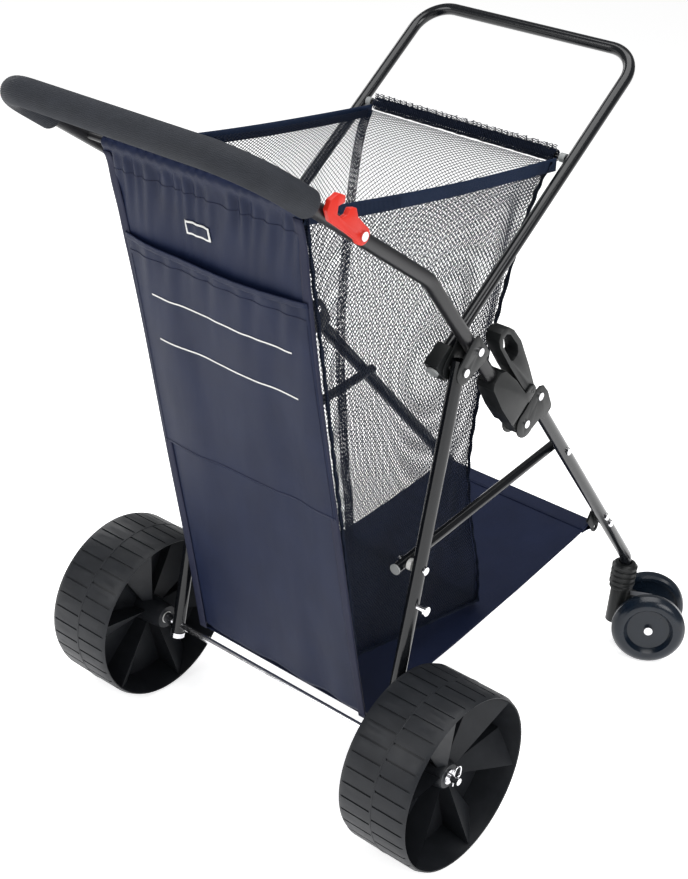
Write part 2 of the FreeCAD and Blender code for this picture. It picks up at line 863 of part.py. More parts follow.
def loop_tube():
    """Flat U of tube whose open ends sit in the saddles."""
    right = [on_loop(LOOP_X, LOOP_LOW), on_loop(LOOP_X, dim("loop_reach"))]
    tube = bent_tube(mirror_points(right), [45.0, 45.0], LOOP_R, 1.2)
    rod = on_loop(0, dim("front_rod_reach"))
    return tube.cut(cross_hole(dim("rod_radius"), rod.y, rod.z, LOOP_X))


keep(feature(loop_tube()), "loop_tube")


def loop_caps():
    """Light plug in each open end of the loop."""
    way = LOOP_TURN.multVec(Y_AXIS)
    foot = on_loop(LOOP_X, LOOP_LOW)
    plug = cylinder("Dims.loop_radius - 1.2", 12.0, foot, way)
    head = cylinder("Dims.loop_radius + 0.8", 3.0, foot - way * 3.0, way)
    right = fuse(plug, head)
    return group(right, mirrored(right))


keep(loop_caps(), "loop_caps")


def loop_saddles():
    """Black block under each loop tube that turns on the hinge pin."""
    long = 34.0
    low = -dim("loop_offset") - 9.0
    corner = on_loop(SADDLE_IN, -0.5 * long, low)
    block = box((SADDLE_OUT - SADDLE_IN, long, 11.5 - low), corner, LOOP_TURN)
    foot = on_loop(LOOP_X, -long)
    tube_hole = cylinder("Dims.loop_radius", 2 * long, foot, LOOP_TURN.multVec(Y_AXIS))
    pin_hole = cylinder(
        "Dims.pin_radius + Dims.running_gap", 40.0, Vector(SADDLE_IN - 5, HINGE_Y, HINGE_Z), X_AXIS
    )
    right = cut(block, fuse(tube_hole, pin_hole))
    return group(right, mirrored(right))


keep(loop_saddles(), "loop_saddles")


def front_rod():
    """Rod between the loop's sides that carries the front of the bag."""
    rod = on_loop(0, dim("front_rod_reach"))
    half = LOOP_X + 3.0
    return cylinder("Dims.rod_radius", 2 * half, Vector(-half, rod.y, rod.z), X_AXIS)


keep(front_rod(), "front_rod")


def rod_ferrules():
    """Light collar at each end of the front rod."""
    rod = on_loop(LOOP_X - LOOP_R - 9.0, dim("front_rod_reach"))
    right = ring("Dims.rod_radius + 2.2", "Dims.rod_radius", 8.0, rod, X_AXIS)
    return group(right, mirrored(right))


keep(rod_ferrules(), "rod_ferrules")

# ---------------------------------------------------------------- front legs
LEG_TOP_X = FRAME_X + 0.7
LEG_TOP_Y = dim("leg_top_fwd")
LEG_TOP_Z = dim("leg_top_height")
STEM_X = dim("stem_half")
STEM_Y = dim("stem_fwd")
LEG_FOOT_Z = 131.0
LEG_RIVETS_Y = (dim("brace_high_fwd"), dim("shelf_fwd") - 14, dim("shelf_fwd") + 6)


def front_leg_at(y):
    """Axis of the right front leg above its bend, at a given Y."""
    share = (y - LEG_TOP_Y) / (STEM_Y - LEG_TOP_Y)
    x = LEG_TOP_X + share * (STEM_X - LEG_TOP_X)
    return Vector(x, y, LEG_TOP_Z + share * (dim("leg_bend_height") - LEG_TOP_Z))


def front_leg():
    """Tube that slopes forward and inward, then turns down into the caster collar."""
    points = [front_leg_at(LEG_TOP_Y), front_leg_at(STEM_Y), Vector(STEM_X, STEM_Y, LEG_FOOT_Z)]
    tube = bent_tube(points, [38.0], LEG_R, dim("tube_wall"))
    for y in LEG_RIVETS_Y:
        axis = front_leg_at(y)
        tube = tube.cut(Part.makeCylinder(PIN_R, 2 * LEG_R, axis, X_AXIS))
    return tube


both_sides(feature(front_leg()), "front_leg")


def leg_rivets():
    """Short rivets in each front leg: the brace's upper pin and the shelf bracket's two."""
    solids = []
    for y in LEG_RIVETS_Y:
        axis = front_leg_at(y)
        solids.append(rivet(axis.x + 2, axis.x + LEG_R + 0.8, axis.y, axis.z, heads=(False, True)))
    return group(*(solids + [mirrored(s) for s in solids]))


keep(leg_rivets(), "leg_rivets")


def shelf_bar():
    """Rod across the front of the cargo shelf."""
    half = front_leg_at(dim("shelf_fwd")).x - LEG_R - 8.0
    middle = Vector(-half, dim("shelf_fwd"), dim("shelf_height"))
    return cylinder("Dims.rod_radius", 2 * half, middle, X_AXIS)


keep(shelf_bar(), "shelf_bar")


def shelf_brackets():
    """Plate on the inside of each front leg with an eye for the shelf bar."""
    body = new_body("ShelfBracket")
    body_x = front_leg_at(dim("shelf_fwd")).x - LEG_R - 4.4
    pad(body, circle(body, "YZ_Plane", (0, 0), 8.0), 4.0)
    arm = [(-8, 0), (-26, 16), (-19, 32), (-12, 36), (8, 14), (8, 0)]
    pad(body, outline(body, "YZ_Plane", arm), 4.0)
    pocket(body, circle(body, "YZ_Plane", (0, 0), "Dims.rod_radius"), 8.0)
    body.Placement = Placement(Vector(body_x, dim("shelf_fwd"), dim("shelf_height")), Rotation())
    return group(body, mirrored(body))


keep(shelf_brackets(), "shelf_brackets")


def caster_collars():
    """Ribbed socket on the foot of each front leg that holds the caster's stem."""
    body = new_body("CasterCollar")
    low = dim("collar_low")
    profile = [(low, "Dims.axle_radius + Dims.running_gap")]
    profile += [(low, 17), (low + 2, 19.5), (low + 6, 19.5)]
    for rib in range(4):
        start = low + 8 + 9.5 * rib
        profile += [(start, 18.5), (start + 2, 21), (start + 6, 21), (start + 8, 18.5)]
    profile += [("Dims.collar_high - 1", 17), ("Dims.collar_high", 14)]
    profile += [("Dims.collar_high", "Dims.leg_radius + 2"), ("Dims.collar_high - 9", "Dims.leg_radius")]
    profile += [(LEG_FOOT_Z, "Dims.leg_radius"), (LEG_FOOT_Z, "Dims.axle_radius + Dims.running_gap")]
    revolve(body, outline(body, "XY_Plane", profile))
    body.Placement = Placement(Vector(STEM_X, STEM_Y, 0), Rotation(Y_AXIS, -90))
    return group(body, mirrored(body))


keep(caster_collars(), "caster_collars")

# ---------------------------------------------------------------- side braces
BRACE_HIGH_Y = dim("brace_high_fwd")
BRACE_HIGH_Z = dim("brace_high_height")
BRACE_HIGH_X = front_leg_at(BRACE_HIGH_Y).x - LEG_R - dim("brace_radius") - 1.2


def side_brace():
    """Tube from the rear leg's pin to the front leg, open at both ends."""
    low = Vector(BRACE_LOW_X, BRACE_LOW_Y, BRACE_LOW_Z)
    high = Vector(BRACE_HIGH_X, BRACE_HIGH_Y, BRACE_HIGH_Z)
    way = (high - low).normalize()
    length = (high - low).Length
    over = 20.0
    start = low - way * over
    wall = cut(
        cylinder("Dims.brace_radius", length + over + 9.0, start, way),
        cylinder("Dims.brace_radius - 1.2", length + over + 9.0, start, way),
    )
    holes = [
        cylinder("Dims.pin_radius + Dims.running_gap", 30.0, Vector(p.x - 15, p.y, p.z), X_AXIS)
        for p in (low, high)
    ]
    return cut(wall, fuse(*holes)), start, way


def brace_caps(start, way):
    """Light plug in the brace's lower end."""
    plug = cylinder("Dims.brace_radius - 1.2", 8.0, start, way)
    head = cylinder("Dims.brace_radius + 0.6", 2.5, start - way * 2.5, way)
    return fuse(plug, head)


brace, brace_start, brace_way = side_brace()
both_sides(brace, "side_brace")
both_sides(brace_caps(brace_start, brace_way), "brace_cap")

# ---------------------------------------------------------------- casters
# A caster is drawn with its stem on Z and its trail along +Y, then turned about the stem.
CASTER_R = dim("caster_radius")
TRAIL = dim("caster_trail")
CASTER_TURN = Rotation(Z_AXIS, dim("caster_yaw"))
LOCK_PIN = 1.8
LOCK_EYE = (21.0, CASTER_R + 35.0)


def caster_place(side):
    return Placement(Vector(side * STEM_X, STEM_Y, 0), CASTER_TURN)


def caster_fork(side):
    """Swivel body: stem pin, round housing and an arm with the axle boss."""
    top = dim("collar_low") - 0.3
    stem = cylinder("Dims.axle_radius", 66.0, Vector(0, 0, 62.0))
    housing = cylinder(16.0, top - 44.0, Vector(0, 0, 44.0))
    boss = cylinder(15.0, 36.0, Vector(-18, TRAIL, CASTER_R), X_AXIS)
    arm = box((36.0, TRAIL, 32.0), Vector(-18, 0, CASTER_R - 13.5))
    rise = box((20.0, 24.0, 16.0), Vector(-10, 8, CASTER_R + 15))
    bore = cylinder(4.0, 60.0, Vector(-30, TRAIL, CASTER_R), X_AXIS)
    ears = [box((3.0, 17.0, 16.0), Vector(x, 10, CASTER_R + 22)) for x in (-11.3, 8.3)]
    eye = cylinder("%g + Dims.running_gap" % LOCK_PIN, 30.0, Vector(-15, *LOCK_EYE), X_AXIS)
    fork = cut(fuse(stem, housing, boss, arm, rise, *ears), fuse(bore, eye))
    fork.Placement = caster_place(side)
    return fork


def caster_axle(side):
    """Axle bolt with a round head at one end and a domed nut at the other."""
    reach = dim("caster_spread") + 7.0
    shaft = cylinder(4.0, 2 * reach, Vector(-reach, TRAIL, CASTER_R), X_AXIS)
    nut = cylinder(6.8, 6.0, Vector(reach - 2.6, TRAIL, CASTER_R), X_AXIS)
    head = cylinder(6.8, 4.0, Vector(-reach - 1.4, TRAIL, CASTER_R), X_AXIS)
    axle = fuse(shaft, nut, head)
    axle.Placement = caster_place(side)
    return axle


def caster_wheel(side, end):
    """One wheel of a twin caster: round tread, dished outer face and an inner boss."""
    body = new_body("CasterWheel")
    half = dim("caster_width") / 2
    boss_in = 18.4 - dim("caster_spread")
    gap = "%g + Dims.running_gap" % 4.0
    profile = [
        (boss_in, gap),
        (half - 9.5, gap),
        (half - 9.5, 34.0),
        (half - 4.0, 37.5),
        (half - 0.8, 39.5),
        (half, 43.0),
        (half - 1.0, 48.0),
        (half - 4.0, 53.5),
        (half - 8.5, 57.3),
        (2.0, "Dims.caster_radius"),
        (-6.0, "Dims.caster_radius"),
        (-10.5, 57.5),
        (-half, 54.0),
        (-half, 50.0),
        (-half + 5.0, 46.0),
        (-half + 5.0, 14.0),
        (boss_in, 11.0),
    ]
    revolve(body, outline(body, "XY_Plane", profile))
    flip = Rotation() if end > 0 else Rotation(Z_AXIS, 180)
    own = Placement(Vector(end * dim("caster_spread"), TRAIL, CASTER_R), flip)
    body.Placement = caster_place(side).multiply(own)
    return body


def caster_lock(side):
    """Foot tab on top of the swivel body that brakes the wheels, on its own cross pin."""
    tab = box((15.0, 34.0, 4.5), Vector(-7.5, 17.0, CASTER_R + 33.0))
    lip = box((15.0, 4.5, 9.0), Vector(-7.5, 48.5, CASTER_R + 28.5))
    trunnion = cylinder(LOCK_PIN, 22.6, Vector(-11.3, *LOCK_EYE), X_AXIS)
    lock = fuse(tab, lip, trunnion)
    lock.Placement = caster_place(side)
    return lock


for side, name in ((1, "right"), (-1, "left")):
    keep(caster_fork(side), "caster_fork_" + name)
    keep(caster_axle(side), "caster_axle_" + name)
    keep(caster_wheel(side, 1), "caster_wheel_%s_near" % name)
    keep(caster_wheel(side, -1), "caster_wheel_%s_far" % name)
    keep(caster_lock(side), "caster_lock_" + name)

# ---------------------------------------------------------------- bag, panel and shelf
CLOTH = dim("cloth")
PANEL_HALF = dim("panel_half")
ROD = arm_point(-dim("rear_rod_back"))
FOLD = Vector(0, AXLE_Y + 8.0, AXLE_Z + 13.0)
FRONT_ROD = on_loop(0, dim("front_rod_reach"))


def strip(low, high, half, thick):
    """Flat cloth between two lines across the cart, `thick` to the front and upper side."""
    way = high - low
    turn = Rotation(X_AXIS, math.degrees(math.atan2(way.z, way.y)))
    return box((2 * half, way.Length, thick), Vector(-half, low.y, low.z), turn)


def sleeve(middle, half, inner):
    """Hem round a rod."""
    return ring(inner + CLOTH, inner, 2 * half, Vector(-half, middle.y, middle.z), X_AXIS)


def toward(start, end, distance):
    return start + (end - start).normalize() * distance


HEM_IN = dim("rod_radius") + 0.5


def back_panel():
    """Cloth back of the bag, hung on the rear rod and reaching down to the axle."""
    top = toward(Vector(0, ROD.y, ROD.z), FOLD, HEM_IN + 0.8 * CLOTH)
    return fuse(strip(FOLD, top, PANEL_HALF, CLOTH), sleeve(ROD, PANEL_HALF, HEM_IN))


keep(back_panel(), "back_panel")


def panel_y(height):
    """Y of the back panel's plane at a height."""
    share = (height - FOLD.z) / (ROD.z - FOLD.z)
    return FOLD.y + share * (ROD.y - FOLD.y)


POCKET_TOP = 775.0
POCKET_LOW = 470.0
POCKET_HALF = 150.0
POCKET_DEEP = 11.0


def back_pocket():
    """Wide flat pocket on the rear of the panel, open along its top."""
    low = Vector(0, panel_y(POCKET_LOW), POCKET_LOW)
    high = Vector(0, panel_y(POCKET_TOP), POCKET_TOP)
    way = high - low
    turn = Rotation(X_AXIS, math.degrees(math.atan2(way.z, way.y)))
    corner = Vector(-POCKET_HALF, low.y, low.z) + turn.multVec(Vector(0, 0, CLOTH))
    outer = box((2 * POCKET_HALF, way.Length, POCKET_DEEP), corner, turn)
    shift = turn.multVec(Vector(CLOTH, CLOTH, -CLOTH))
    inner_size = (2 * POCKET_HALF - 2 * CLOTH, way.Length, POCKET_DEEP)
    inner = box(inner_size, corner + shift, turn)
    return cut(outer, inner)


keep(back_pocket(), "back_pocket")

# Half widths of the bag and the Y of its front wall: at the rim, at the waist and at the floor.
BAG_LEVELS = (
    {"rear": (152.0, 866.0), "front": (149.0, 34.0, 866.0)},
    {"rear": (148.0, 560.0), "front": (124.0, -13.0, 560.0)},
    {"rear": (143.0, 262.0), "front": (121.0, 60.0, 214.0)},
)
BAG_GAP = 1.0


def bag_corner(level, end):
    """Outer corner of the bag on its right side."""
    if end == "rear":
        half, height = level["rear"]
        return Vector(half, panel_y(height) + CLOTH + BAG_GAP + 2, height)
    return Vector(*level["front"])


def wall(edges):
    """Ruled solid through one thin quadrilateral per level."""
    wires = [Part.makePolygon(list(e) + [e[0]]) for e in edges]
    return Part.makeLoft(wires, True, True)


def bag_side(sign):
    edges = []
    for level in BAG_LEVELS:
        rear = bag_corner(level, "rear")
        front = bag_corner(level, "front")
        front.y -= CLOTH + BAG_GAP
        inward = Vector(-CLOTH, 0, 0)
        quad = [rear, front, front + inward, rear + inward]
        edges.append([Vector(sign * p.x, p.y, p.z) for p in quad])
    return feature(wall(edges))


def bag_front():
    edges = []
    for level in BAG_LEVELS:
        corner = bag_corner(level, "front")
        other = Vector(-corner.x, corner.y, corner.z)
        back = Vector(0, -CLOTH, 0)
        edges.append([corner, other, other + back, corner + back])
    return feature(wall(edges))


FLOOR_SIDE_INSET = 4.0
FLOOR_FRONT_INSET = 9.0


def bag_floor():
    """Mesh floor just inside the walls, so that the leaning walls don't overhang it."""
    level = BAG_LEVELS[2]
    drop = Vector(-FLOOR_SIDE_INSET, 0, -CLOTH - BAG_GAP)
    rear = bag_corner(level, "rear") + drop
    front = toward(bag_corner(level, "front") + drop, rear, FLOOR_FRONT_INSET)
    quad = [rear, front, Vector(-front.x, front.y, front.z), Vector(-rear.x, rear.y, rear.z)]
    return feature(Part.Face(Part.makePolygon(quad + [quad[0]])).extrude(Vector(0, 0, CLOTH)))


keep(bag_front(), "bag_front")
keep(bag_side(1), "bag_side_right")
keep(bag_side(-1), "bag_side_left")
keep(bag_floor(), "bag_floor")


def side_bands():
    """Webbing strap along the rim of the bag, from rod to rod."""
    rear = Vector(154.0, ROD.y + 9, ROD.z - 3)
    front = Vector(152.0, FRONT_ROD.y - 9, FRONT_ROD.z - 3)
    width = Vector(0, 0, -22)
    quad = [rear, front, front + width, rear + width]
    band = feature(Part.Face(Part.makePolygon(quad + [quad[0]])).extrude(Vector(CLOTH, 0, 0)))
    return group(band, mirrored(band))


keep(side_bands(), "side_bands")


def cargo_shelf():
    """Cloth shelf from the fold over the axle to the bar between the front legs."""
    bar = Vector(0, dim("shelf_fwd"), dim("shelf_height"))
    low = FOLD + Vector(0, 2.5, 0)
    half = dim("panel_half") - 6.0
    end = toward(bar, low, HEM_IN + 0.8 * CLOTH)
    bar_half = front_leg_at(dim("shelf_fwd")).x - LEG_R - 9.0
    return fuse(strip(low, end, min(half, bar_half), CLOTH), sleeve(bar, bar_half - 0.5, HEM_IN))


keep(cargo_shelf(), "cargo_shelf")


# ---------------------------------------------------------------- checks and export
doc.recompute()
for obj in doc.Objects:
    if "Invalid" in obj.State or "Error" in obj.State:
        raise RuntimeError("%s (%s) failed to build" % (obj.Name, obj.Label))

os.makedirs("parts", exist_ok=True)
forward = Vector(0, dim("datum_back"), 0)
whole = FreeCAD.BoundBox()
for obj in nodes:
    if obj.Shape.isNull() or not obj.Shape.isValid() or not obj.Shape.Solids:
        raise RuntimeError("%s has no valid solid" % obj.Label)
    shape = obj.Shape.translated(forward)
    whole.add(shape.BoundBox)
    shape.exportStep("parts/%s.step" % obj.Label)
    print("%-26s solids %d  volume %.1f cm3" % (obj.Label, len(shape.Solids), shape.Volume / 1000))
print("nodes %d, box %s" % (len(nodes), whole))
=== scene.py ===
import bpy
import bmesh
import json
import math
from mathutils import Matrix, Vector, noise

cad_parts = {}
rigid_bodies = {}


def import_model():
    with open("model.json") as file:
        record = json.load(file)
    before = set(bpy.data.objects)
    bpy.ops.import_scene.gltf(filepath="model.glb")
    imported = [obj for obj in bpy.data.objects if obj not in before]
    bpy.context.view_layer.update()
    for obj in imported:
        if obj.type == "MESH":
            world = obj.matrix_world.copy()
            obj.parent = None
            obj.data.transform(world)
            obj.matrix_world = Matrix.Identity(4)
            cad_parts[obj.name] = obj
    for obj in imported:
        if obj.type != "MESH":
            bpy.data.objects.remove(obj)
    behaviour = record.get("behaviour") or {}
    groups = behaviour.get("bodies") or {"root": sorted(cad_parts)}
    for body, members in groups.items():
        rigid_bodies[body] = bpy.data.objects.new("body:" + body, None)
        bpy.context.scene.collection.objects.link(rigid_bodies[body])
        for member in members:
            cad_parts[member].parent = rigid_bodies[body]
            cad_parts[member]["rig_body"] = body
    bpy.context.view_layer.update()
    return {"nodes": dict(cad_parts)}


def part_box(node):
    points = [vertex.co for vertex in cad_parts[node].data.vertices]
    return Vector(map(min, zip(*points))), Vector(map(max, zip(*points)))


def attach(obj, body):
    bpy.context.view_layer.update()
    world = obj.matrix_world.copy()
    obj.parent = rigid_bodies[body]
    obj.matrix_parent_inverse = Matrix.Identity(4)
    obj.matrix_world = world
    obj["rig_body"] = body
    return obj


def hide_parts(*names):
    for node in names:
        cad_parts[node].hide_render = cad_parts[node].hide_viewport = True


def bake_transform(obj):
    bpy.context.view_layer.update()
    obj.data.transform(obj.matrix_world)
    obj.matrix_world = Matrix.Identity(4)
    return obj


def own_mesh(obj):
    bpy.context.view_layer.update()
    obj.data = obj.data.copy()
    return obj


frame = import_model()
nodes = frame["nodes"]
print("frame loaded:", len(nodes), "nodes")


def boxMiddle(name):
    low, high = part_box(name)
    return (low + high) / 2


class Sock:  # a shader socket that can stand in a sum
    def __init__(self, shader, socket):
        self.shader = shader
        self.socket = socket

    def beside(self, place):  # another output of the same node
        return Sock(self.shader, self.socket.node.outputs[place])

    def maths(self, operation, *values):
        return self.shader.node("ShaderNodeMath", {"operation": operation}, values or (self,))

    def __add__(self, other): return self.maths("ADD", self, other)
    def __radd__(self, other): return self.maths("ADD", other, self)
    def __sub__(self, other): return self.maths("SUBTRACT", self, other)
    def __rsub__(self, other): return self.maths("SUBTRACT", other, self)
    def __mul__(self, other): return self.maths("MULTIPLY", self, other)
    def __rmul__(self, other): return self.maths("MULTIPLY", other, self)


class Finish:
    def __init__(self, name, colour, roughness, metallic=0.0, **fixed):
        self.material = bpy.data.materials.new(name)
        self.material.use_nodes = True
        self.tree = self.material.node_tree
        self.shader = self.tree.nodes["Principled BSDF"]
        self.set("Base Color", (*colour, 1))
        self.set("Roughness", roughness)
        self.set("Metallic", metallic)
        for socketName, value in fixed.items():
            self.set(socketName.replace("_", " "), value)

    def set(self, socketName, value):
        if isinstance(value, Sock):
            self.tree.links.new(value.socket, self.shader.inputs[socketName])
        else:
            self.shader.inputs[socketName].default_value = value

    def node(self, kind, settings=None, values=(), named=None, out=0):
        made = self.tree.nodes.new(kind)
        for key, value in (settings or {}).items():
            if key == "stops":
                ramp = made.color_ramp
                while len(ramp.elements) < len(value):
                    ramp.elements.new(0.5)
                for element, (place, level) in zip(ramp.elements, value):
                    element.position = place
                    element.color = (level, level, level, 1)
            else:
                setattr(made, key, value)
        pairs = list(enumerate(values)) + list((named or {}).items())
        for key, value in pairs:
            if isinstance(value, Sock):
                self.tree.links.new(value.socket, made.inputs[key])
            else:
                made.inputs[key].default_value = value
        return Sock(self, made.outputs[out])

    def place(self, kind="Object", scale=(1, 1, 1)):
        found = self.node("ShaderNodeTexCoord", out={"Object": 3, "UV": 2}[kind])
        return self.node("ShaderNodeMapping", {}, named={"Vector": found, "Scale": scale})

    def speckle(self, size, detail=2.0, where=None):
        named = {"Vector": where or self.place(), "Scale": 1.0 / size, "Detail": detail}
        return self.node("ShaderNodeTexNoise", named=named)

    def step(self, value, low, high):
        return self.node("ShaderNodeValToRGB", {"stops": ((low, 0), (high, 1))}, (value,))

    def blendColour(self, share, first, second):
        named = {"Factor": share, 6: (*first, 1), 7: (*second, 1)}
        return self.node("ShaderNodeMix", {"data_type": "RGBA"}, named=named, out=2)

    def relief(self, height, distance, strength):
        named = {"Height": height, "Distance": distance, "Strength": strength}
        self.set("Normal", self.node("ShaderNodeBump", named=named))
        return self


paint = {
    "gloss": ((0.003, 0.0035, 0.0045), (0.007, 0.008, 0.010)),
    "satin": ((0.005, 0.005, 0.006), (0.010, 0.010, 0.012)),
    "wheel": ((0.007, 0.008, 0.010), (0.017, 0.019, 0.023)),
    "caster": ((0.003, 0.006, 0.012), (0.007, 0.013, 0.022)),
    "moulded": ((0.005, 0.006, 0.006), (0.013, 0.014, 0.015)),
    "foam": ((0.008, 0.010, 0.014), (0.020, 0.023, 0.031)),
    "navy": ((0.0045, 0.0080, 0.026), (0.0085, 0.0145, 0.044)),
    "net": ((0.002, 0.005, 0.015), (0.005, 0.011, 0.030)),
    "webbing": ((0.003, 0.009, 0.026), (0.007, 0.017, 0.046)),
    "binding": ((0.008, 0.010, 0.028), (0.016, 0.019, 0.044)),
    "red": ((0.50, 0.012, 0.006), (0.64, 0.026, 0.012)),
    "white": ((0.62, 0.62, 0.60), (0.80, 0.80, 0.78)),
    "lightGrey": ((0.20, 0.21, 0.21), (0.32, 0.33, 0.33)),
    "grey": ((0.10, 0.105, 0.115), (0.17, 0.175, 0.19)),
}


def twoTone(name, key, roughness, patch, shine):
    finish = Finish(name, paint[key][0], roughness, Specular_IOR_Level=shine)
    finish.set("Base Color", finish.blendColour(finish.speckle(patch, 4.0), *paint[key]))
    return finish


coatFeel = {"patch": 0.05, "shine": 0.42, "peel": 0.0016, "peelDepth": 0.00006, "peelStrength": 0.5,
            "scuff": 0.004, "scuffFrom": 0.62, "scuffTo": 0.75, "scuffRough": 0.12}


def powderCoat(name, key, roughness):
    finish = twoTone(name, key, roughness, coatFeel["patch"], coatFeel["shine"])
    peel = finish.speckle(coatFeel["peel"], 1.0)
    scuff = finish.step(finish.speckle(coatFeel["scuff"], 6.0), coatFeel["scuffFrom"], coatFeel["scuffTo"])
    finish.set("Roughness", roughness + scuff * coatFeel["scuffRough"])
    return finish.relief(peel, coatFeel["peelDepth"], coatFeel["peelStrength"]).material


mouldFeel = {"patch": 0.02, "rub": 0.018, "rubFrom": 0.08, "rubRough": 0.18, "grainStrength": 0.8}


def mouldedPlastic(name, key, roughness, grain=0.0009, depth=0.00005, shine=0.3):
    finish = twoTone(name, key, roughness, mouldFeel["patch"], shine)
    rub = finish.speckle(mouldFeel["rub"], 5.0)
    finish.set("Roughness", roughness - mouldFeel["rubFrom"] + rub * mouldFeel["rubRough"])
    return finish.relief(finish.speckle(grain), depth, mouldFeel["grainStrength"]).material


plateFeel = {"colour": (0.82, 0.82, 0.84), "roughness": 0.14, "haze": 0.006, "hazeFrom": 0.07,
             "hazeRough": 0.16, "lines": 0.02, "stretch": (1, 12, 12), "lineDepth": 0.00002,
             "lineStrength": 0.3}


def brightMetal(name):
    finish = Finish(name, plateFeel["colour"], plateFeel["roughness"], 1.0)
    haze = finish.speckle(plateFeel["haze"], 5.0)
    finish.set("Roughness", plateFeel["hazeFrom"] + haze * plateFeel["hazeRough"])
    lines = finish.speckle(plateFeel["lines"], 3.0, finish.place(scale=plateFeel["stretch"]))
    return finish.relief(lines, plateFeel["lineDepth"], plateFeel["lineStrength"]).material


foamFeel = {"roughness": 0.66, "patch": 0.02, "shine": 0.35, "pore": 0.0008, "poreFrom": 0.62,
            "poreRough": 0.2, "poreDepth": 0.00012, "poreStrength": 0.6}


def foamRubber(name):
    finish = twoTone(name, "foam", foamFeel["roughness"], foamFeel["patch"], foamFeel["shine"])
    pores = finish.speckle(foamFeel["pore"])
    finish.set("Roughness", foamFeel["poreFrom"] + pores * foamFeel["poreRough"])
    return finish.relief(pores, foamFeel["poreDepth"], foamFeel["poreStrength"]).material


clothFeel = {"patch": 0.05, "crease": 0.035, "creaseStretch": (1, 0.35, 1), "creaseFrom": 0.06,
             "creaseRough": 0.14, "threadDepth": 0.00008, "strength": 0.7}


def wovenCloth(name, key, roughness, pitch=0.0006, crumple=0.0011, shine=0.16):
    finish = twoTone(name, key, roughness, clothFeel["patch"], shine)
    parts = finish.node("ShaderNodeSeparateXYZ", values=(finish.place("UV"),))
    across = (parts * (math.tau / pitch)).maths("SINE")
    along = (parts.beside(1) * (math.tau / pitch)).maths("SINE")
    weave = across * along * 0.5 + 0.5
    creases = finish.speckle(clothFeel["crease"], 3.0, finish.place("UV", clothFeel["creaseStretch"]))
    finish.set("Roughness", roughness - clothFeel["creaseFrom"] + creases * clothFeel["creaseRough"])
    height = weave * (clothFeel["threadDepth"] / crumple) + creases
    return finish.relief(height, crumple, clothFeel["strength"]).material


glossBlack = powderCoat("glossBlackTube", "gloss", 0.16)
satinBlack = powderCoat("satinBlackTube", "satin", 0.32)
wheelMould = mouldedPlastic("wheelMoulding", "wheel", 0.44, 0.0012, 0.00008, 0.26)
casterMould = mouldedPlastic("casterMoulding", "caster", 0.22, 0.002, 0.00003, 0.4)
blackMould = mouldedPlastic("blackMoulding", "moulded", 0.38)
redMould = mouldedPlastic("redMoulding", "red", 0.36)
whiteMould = mouldedPlastic("whiteMoulding", "white", 0.45)
lightMould = mouldedPlastic("lightGreyMoulding", "lightGrey", 0.45)
greyMould = mouldedPlastic("greyMoulding", "grey", 0.45)
bright = brightMetal("brightPlate")
foam = foamRubber("gripFoam")
navyCloth = wovenCloth("navyPolyester", "navy", 0.46)
netCord = wovenCloth("netCord", "net", 0.60, 0.0008, 0.0003, 0.2)
webbing = wovenCloth("ribbedWebbing", "webbing", 0.70, 0.0009, 0.0004, 0.2)
bindingTape = wovenCloth("bindingTape", "binding", 0.62, 0.0008, 0.0004, 0.2)
palePrint = wovenCloth("palePrint", "white", 0.60, 0.0006, 0.0002, 0.2)
print("materials made")

cadFinish = {
    glossBlack: ["loop_tube", "rear_leg_right", "rear_leg_left", "front_leg_right", "front_leg_left",
                 "side_brace_right", "side_brace_left", "shelf_bar", "front_rod"],
    satinBlack: ["handle_tube", "rear_rod"],
    wheelMould: ["rear_wheel_right", "rear_wheel_left"],
    casterMould: ["caster_wheel_right_near", "caster_wheel_right_far",
                  "caster_wheel_left_near", "caster_wheel_left_far"],
    blackMould: ["hinge_plates", "lock_housing_right", "lock_housing_left", "lock_lever_right",
                 "lock_lever_left", "lock_plates", "loop_saddles", "shelf_brackets", "caster_collars",
                 "caster_fork_right", "caster_fork_left"],
    bright: ["rear_axle", "axle_spacers", "hitch_pins", "leg_ferrules", "catch_stud", "hinge_pins",
             "brace_pins", "plate_rivets", "hook_rivet", "lock_rivets", "leg_rivets",
             "caster_axle_right", "caster_axle_left"],
    redMould: ["fold_hook"],
    whiteMould: ["brace_spacers", "wheel_bushes_right", "wheel_bushes_left"],
    lightMould: ["loop_caps", "rod_ferrules", "brace_cap_right", "brace_cap_left"],
    greyMould: ["caster_lock_right", "caster_lock_left"],
    foam: ["handle_grip"],
}
finishOf = {name: material for material, names in cadFinish.items() for name in names}


def newObject(name, mesh, material):
    piece = bpy.data.objects.new(name, mesh)
    bpy.context.scene.collection.objects.link(piece)
    mesh.materials.clear()
    mesh.materials.append(material)
    return piece


def applied(piece):
    graph = bpy.context.evaluated_depsgraph_get()
    mesh = bpy.data.meshes.new_from_object(piece.evaluated_get(graph), depsgraph=graph)
    piece.modifiers.clear()
    piece.data = mesh
    mesh.name = piece.name
    return piece


edgeFeel = {"weld": 2e-6, "flat": 0.6, "sharp": 28, "segments": 2, "sharpAfter": 50}


